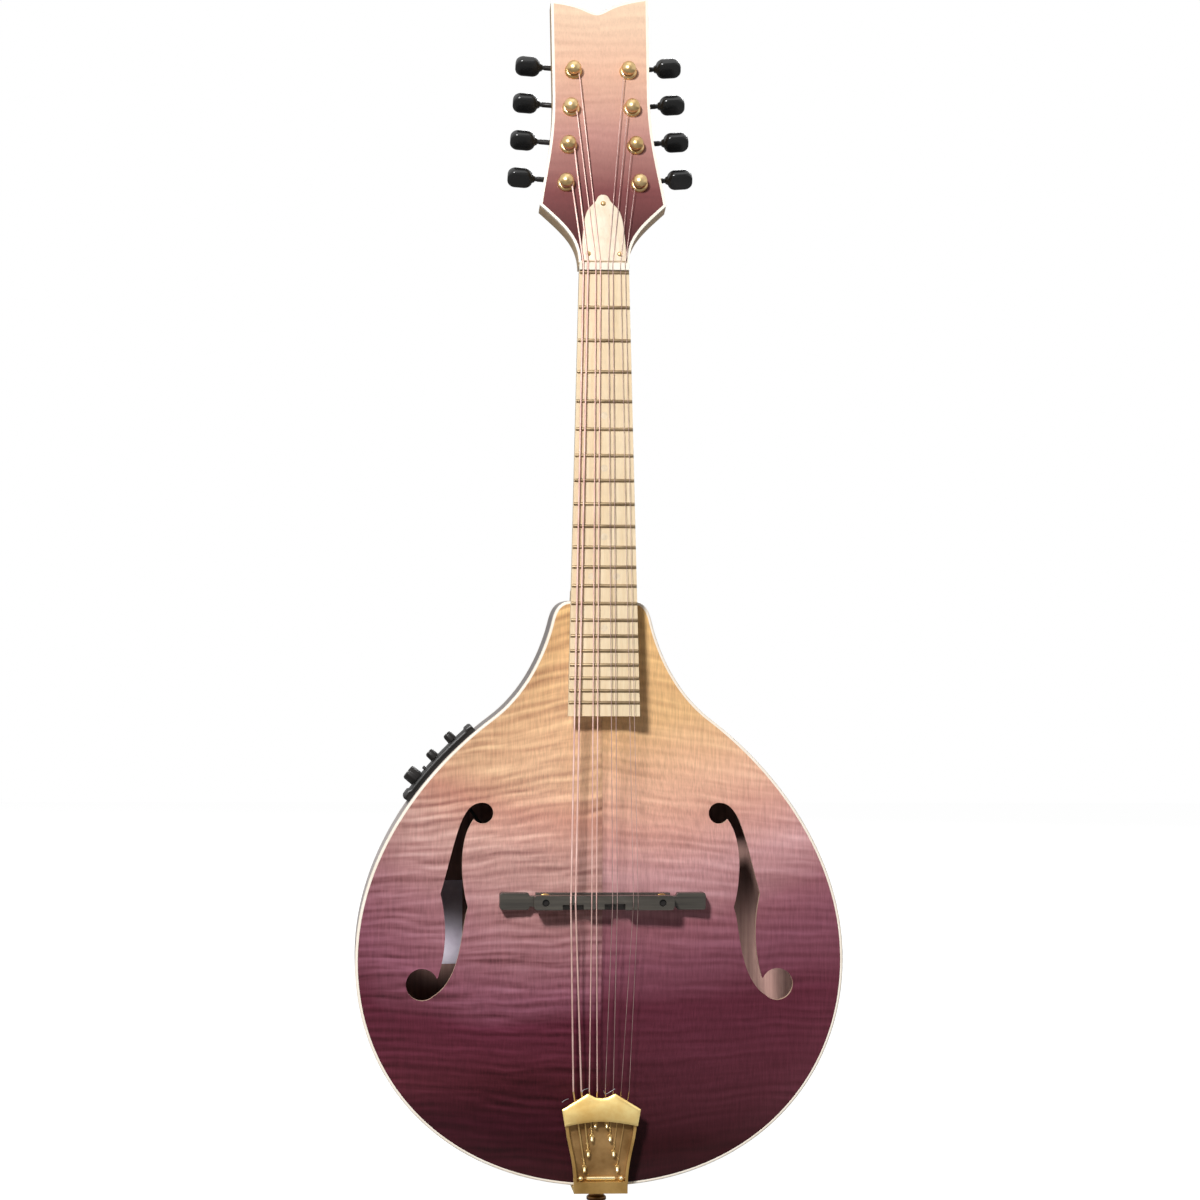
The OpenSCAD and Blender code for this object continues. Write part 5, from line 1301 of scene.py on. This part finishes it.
# The rounded prongs that stand on the floor's pegs and lean towards the tail
def anchorHooks():
    y = -edgeY - floorH - castingT - anchorSetup["prongAhead"]
    lean = Matrix.Rotation(math.radians(anchorSetup["prongTurn"]), 4, "X") @ Matrix.Diagonal((1, 1, 0.9, 1))
    hooks = []
    for x, z in stringSetup["hooks"]:
        for side in (-1, 1):
            stand = Matrix.Translation((side * x, y, z - anchorSetup["prongDown"]))
            hooks.append(moved(capsule(*anchorSetup["prong"]), stand @ lean))
    return joined(hooks)


addPiece("stringAnchor", anchorShape(), ["goldSatin", "brushedGoldAndShade", "goldRail"], ["tailpiece"],
         smooth=24, soften=0.35)
addPiece("anchorBar", anchorBarShape(), ["goldBright", "brushedGoldAndShade"], ["tailpiece_bar"], smooth=40)
addPiece("anchorHooks", anchorHooks(), "goldBright", smooth=60)
addPiece("anchorScrews", cadCopy("tailpiece_screws"), "goldPlate", ["tailpiece_screws"],
         smooth=50)
addPiece("endPin", moved(cadCopy("output_jack"), Matrix.Diagonal((0.86, 0.86, 1, 1))), "endPinBronze",
         ["output_jack"], soften=0.3)
print("tailpiece ready")

# The panel's section: half its width, its thickness, and how far both its ends stand up
panelSetup = {"half": 13.5, "thick": 3.5, "steps": 52, "endSteps": 5, "endLift": 0.9, "tipLift": 0.2}


def panelShape():
    half, thick, steps = (panelSetup[key] for key in ("half", "thick", "steps"))
    section = [
        (0, -half), (1.5, -half), (1.7, -half - 0.35), (2.0, -half - 0.35), (2.2, -half),
        (thick - 0.9, -half), (thick - 0.25, -half + 0.3), (thick, -half + 1), (thick, -4), (thick, 4),
        (thick, half - 1), (thick - 0.25, half - 0.3), (thick - 0.9, half), (0, half),
    ]
    rings = []
    for i in range(steps + 1):
        t = blend(*panelReach, i / steps)
        place, slope = bezier(sideCurve, t), bezierSlope(sideCurve, t)
        fromEnd = min(i, steps - i)
        lift = panelSetup["endLift"] if fromEnd < panelSetup["endSteps"] else 0
        if fromEnd == 0:
            lift = panelSetup["tipLift"]
        rings.append([])
        for out, y in section:
            out = out + lift if out > 0 else out
            rings[-1].append(Vector((-place.x - out * slope.y, y, place.y - out * slope.x)))
    return loft(rings)


# The knobs: how high they stand on their stems, their flutes and how deep these are, the stem's
# profile, the pale mark's width and depth, and each knob's place along the rib's curve, its diameter
# and its height
knobSetup = {
    "stand": 3.5, "flutes": 12, "fluteDepth": 0.045, "mark": (0.7, 0.35),
    "stem": [(0, -1.3), (2.4, -1.3), (2.4, -0.3), (1.4, -0.3), (1.4, 3.8)],
    "knobs": {"volume_knob": (0.624, 9.2, 7.0), "bass_knob": (0.723, 5.8, 5.4),
              "treble_knob": (0.816, 5.8, 5.4)},
}


# A fluted knob on its stem, standing along Y, with a pale mark on its top
def knobShape(diameter, height):
    radius, top, flutes = diameter / 2, knobSetup["stand"] + height, knobSetup["flutes"]
    cap = [(radius, 3.8), (radius + 0.02, 4.4), (radius - 0.15, top - 1.2), (radius - 0.4, top - 0.5),
           (radius - 0.95, top - 0.08), (radius - 1.4, top), (0, top)]
    body = spun(knobSetup["stem"] + cap, flutes * 4)
    for vert in body.verts:
        if vert.co.y > 3.7 and math.hypot(vert.co.x, vert.co.z) > radius - 0.45:
            turn = math.atan2(vert.co.z, vert.co.x)
            pull = 1 - knobSetup["fluteDepth"] * (0.5 + 0.5 * math.cos(turn * flutes)) ** 2
            vert.co.x *= pull
            vert.co.z *= pull
    mark = roundedBlock((*knobSetup["mark"], radius * 0.8), 0.1, 0, 2)
    moved(mark, Matrix.Translation((0, top, radius * 0.45)))
    for face in mark.faces:
        face.material_index = 1
    return joined([body, mark])


addPiece("controlPanel", panelShape(), "blackSatin", ["preamp_panel"], smooth=40)
addPiece("controlBox", cadCopy("preamp_housing"), "blackSatin", ["preamp_housing"],
         soften=0.5)
upright = Matrix.Rotation(math.radians(90), 4, "X")
pushPlace = 0.67
pushProfile = [(0, -1.3), (1.8, -1.3), (1.8, -0.3), (1, -0.3), (1, 5.1), (0.85, 5.4), (0.5, 5.5), (0, 5.5)]
for body, (along, diameter, height) in knobSetup["knobs"].items():
    addPiece(f"{body}Cap", moved(knobShape(diameter, height), ribFrame(along) @ upright),
             ["blackSatin", "paleMark"], [body], body=body, smooth=40)
addPiece("pushCap", moved(spun(pushProfile, 28), ribFrame(pushPlace) @ upright), "blackSatin",
         ["push_button"], body="push_button", smooth=40)
print("preamp ready")


# Where a string stands across a spread of four pairs
def stringX(i, spread):
    gap = stringSetup["pairGap"]
    return (gap - spread) / 2 + (i // 2) * (spread - gap) / 3 + (i % 2 - 0.5) * gap


# The points of a string: its hook, the tailpiece's crown, the saddle, both edges of the nut, and its
# windings round the post
def stringRoute(i):
    setup = stringSetup
    gauge = setup["gauges"][i // 2]
    side, row = (-1, i) if i < 4 else (1, 7 - i)
    hookX, hookZ = setup["hooks"][setup["hookOf"][i]]
    lift = gauge / 2 + setup["clear"]
    hook = Vector((side * hookX, -edgeY - floorH - castingT - setup["hookAhead"], hookZ + setup["hookUp"]))
    crownY = -edgeY - floorH - railH + gauge / 2 + setup["crownSink"]
    crown = Vector((setup["tailSpread"] * (i / 7 - 0.5), crownY, setup["crownZ"]))
    saddleY = -edgeY - saddleTop - lift + setup["saddleSink"]
    saddle = Vector((stringX(i, setup["bridgeSpread"]), saddleY, bridgeZ))
    nutX = stringX(i, setup["nutSpread"])
    zero, nut = (neckFrame @ Vector((nutX, -setup["nutTop"] - lift, up)) for up in (0, setup["nutLong"]))
    # the winding turns about the post, starting from its inner side
    post = (headFrame.inverted() @ tunerFrame("bass" if i < 4 else "treble", row)).translation
    radius = setup["postRadius"] + gauge / 2
    winding = []
    for k in range(setup["turns"] * setup["turnSteps"] + 1):
        turns = k / setup["turnSteps"]
        x = post.x - side * radius * math.cos(math.tau * turns)
        z = post.z + radius * math.sin(math.tau * turns)
        winding.append(headFrame @ Vector((x, setup["windFrom"] + setup["windPitch"] * gauge * turns, z)))
    return gauge, hook, crown, saddle, zero, nut, winding


# A string's loop round its hook and the twist that closes it: how many turns the twist has, its
# steps in a turn and its advance in a step
loopSetup = {
    "radius": 1.15, "steps": 20, "wire": 0.5, "twistFrom": 0.6, "turns": 4, "turnSteps": 12, "step": 0.075,
}


def hookLoop(gauge, hook, crown):
    setup = loopSetup
    ahead = (crown - hook).normalized()
    centre = hook - Vector((0, 0, stringSetup["hookUp"]))
    circle = circlePoints(setup["radius"], setup["steps"])
    loop = [centre + Vector((p.x, 0.1, p.y)) for p in circle + circle[:1]]
    across = ahead.cross(Vector((0, 1, 0))).normalized()
    other = ahead.cross(across)
    wire = min(gauge, setup["wire"])
    reach = gauge / 2 + wire * 0.25
    twist = []
    for k in range(setup["turns"] * setup["turnSteps"] + 1):
        a = math.tau * k / setup["turnSteps"]
        middle = hook + ahead * (setup["twistFrom"] + k * setup["step"])
        twist.append(middle + reach * (math.cos(a) * across + math.sin(a) * other))
    return [tubeAlong(loop, wire * 0.45, 8), tubeAlong(twist, wire * 0.42, 6)]


def stringShapes(i):
    gauge, hook, crown, saddle, zero, nut, winding = stringRoute(i)
    tail = tubeAlong([blend(hook, crown, t) for t in (0, 0.5, 1.0)], gauge / 2)
    lower = tubeAlong([blend(crown, saddle, t) for t in (0.0, 0.2, 0.4, 0.6, 0.8, 1.0)], gauge / 2)
    speaking = [blend(saddle, zero, t) for t in (0, 0.1, 0.2, 0.35, 0.5, 0.65, 0.8, 0.9, 1.0)]
    upper = tubeAlong(speaking + [nut] + winding, gauge / 2)
    return lower, upper, [tail] + hookLoop(gauge, hook, crown)


# Each set of strings as three pieces: from the crown to the saddle, from the saddle round the posts, and the
# tail ends with their loops
for name, node, finish, slot, numbers in (
        ("bronze", "wound_strings", "woundBronze", "bronze_wire", range(4)),
        ("steel", "plain_strings", "stringSteel", "steel_wire", range(4, 8))):
    lowers, uppers, loops = [], [], []
    for i in numbers:
        lower, upper, extra = stringShapes(i)
        lowers.append(lower)
        uppers.append(upper)
        loops += extra
    low = addPiece(f"{name}StringsLow", joined(lowers), finish, [node], body=None, smooth=60)
    high = addPiece(f"{name}StringsHigh", joined(uppers), finish, body=None, smooth=60)
    addPiece(f"{name}Loops", joined(loops), "goldWire", smooth=60)
    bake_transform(low)
    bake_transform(high)
# The cut ends of three strings curl over the crown: places in X and Z
curlSetup = {"front": -36.2, "sink": 0.5, "radius": 0.2}
curlLines = [
    [(-22.1, 49.4), (-20.3, 50.6), (-18.4, 51.2)],
    [(-11.4, 55.0), (-9.5, 56.4), (-7.5, 56.8)],
    [(1.2, 56.0), (2.0, 53.8), (4.2, 54.6), (7.6, 56.6)],
]
curls = []
for line in curlLines:
    points = [Vector((x, curlSetup["front"] + curlSetup["sink"] * k, z)) for k, (x, z) in enumerate(line)]
    curls.append(tubeAlong(smoothPath(points, 12), curlSetup["radius"], 8))
addPiece("stringEnds", joined(curls), "plainSteel", smooth=60)
print("strings ready")

# The CAD nodes that show as they are
finishes = {
    "sideMaple": ["fretboard_riser"],
    "rawSpruce": ["linings", "neck_block", "tail_block", "tone_bars"],
    "creamBinding": ["heel_cap"],
    "shell": ["fret_markers"],
    "plainSteel": ["truss_rod", "jack_nut"],
    "brass": ["pickup"],
    "cableRubber": ["leads"],
}
for finish, names in finishes.items():
    for name in names:
        mesh = nodes[name].data
        mesh.materials.clear()
        mesh.materials.append(materials[finish])
print("finishes given")
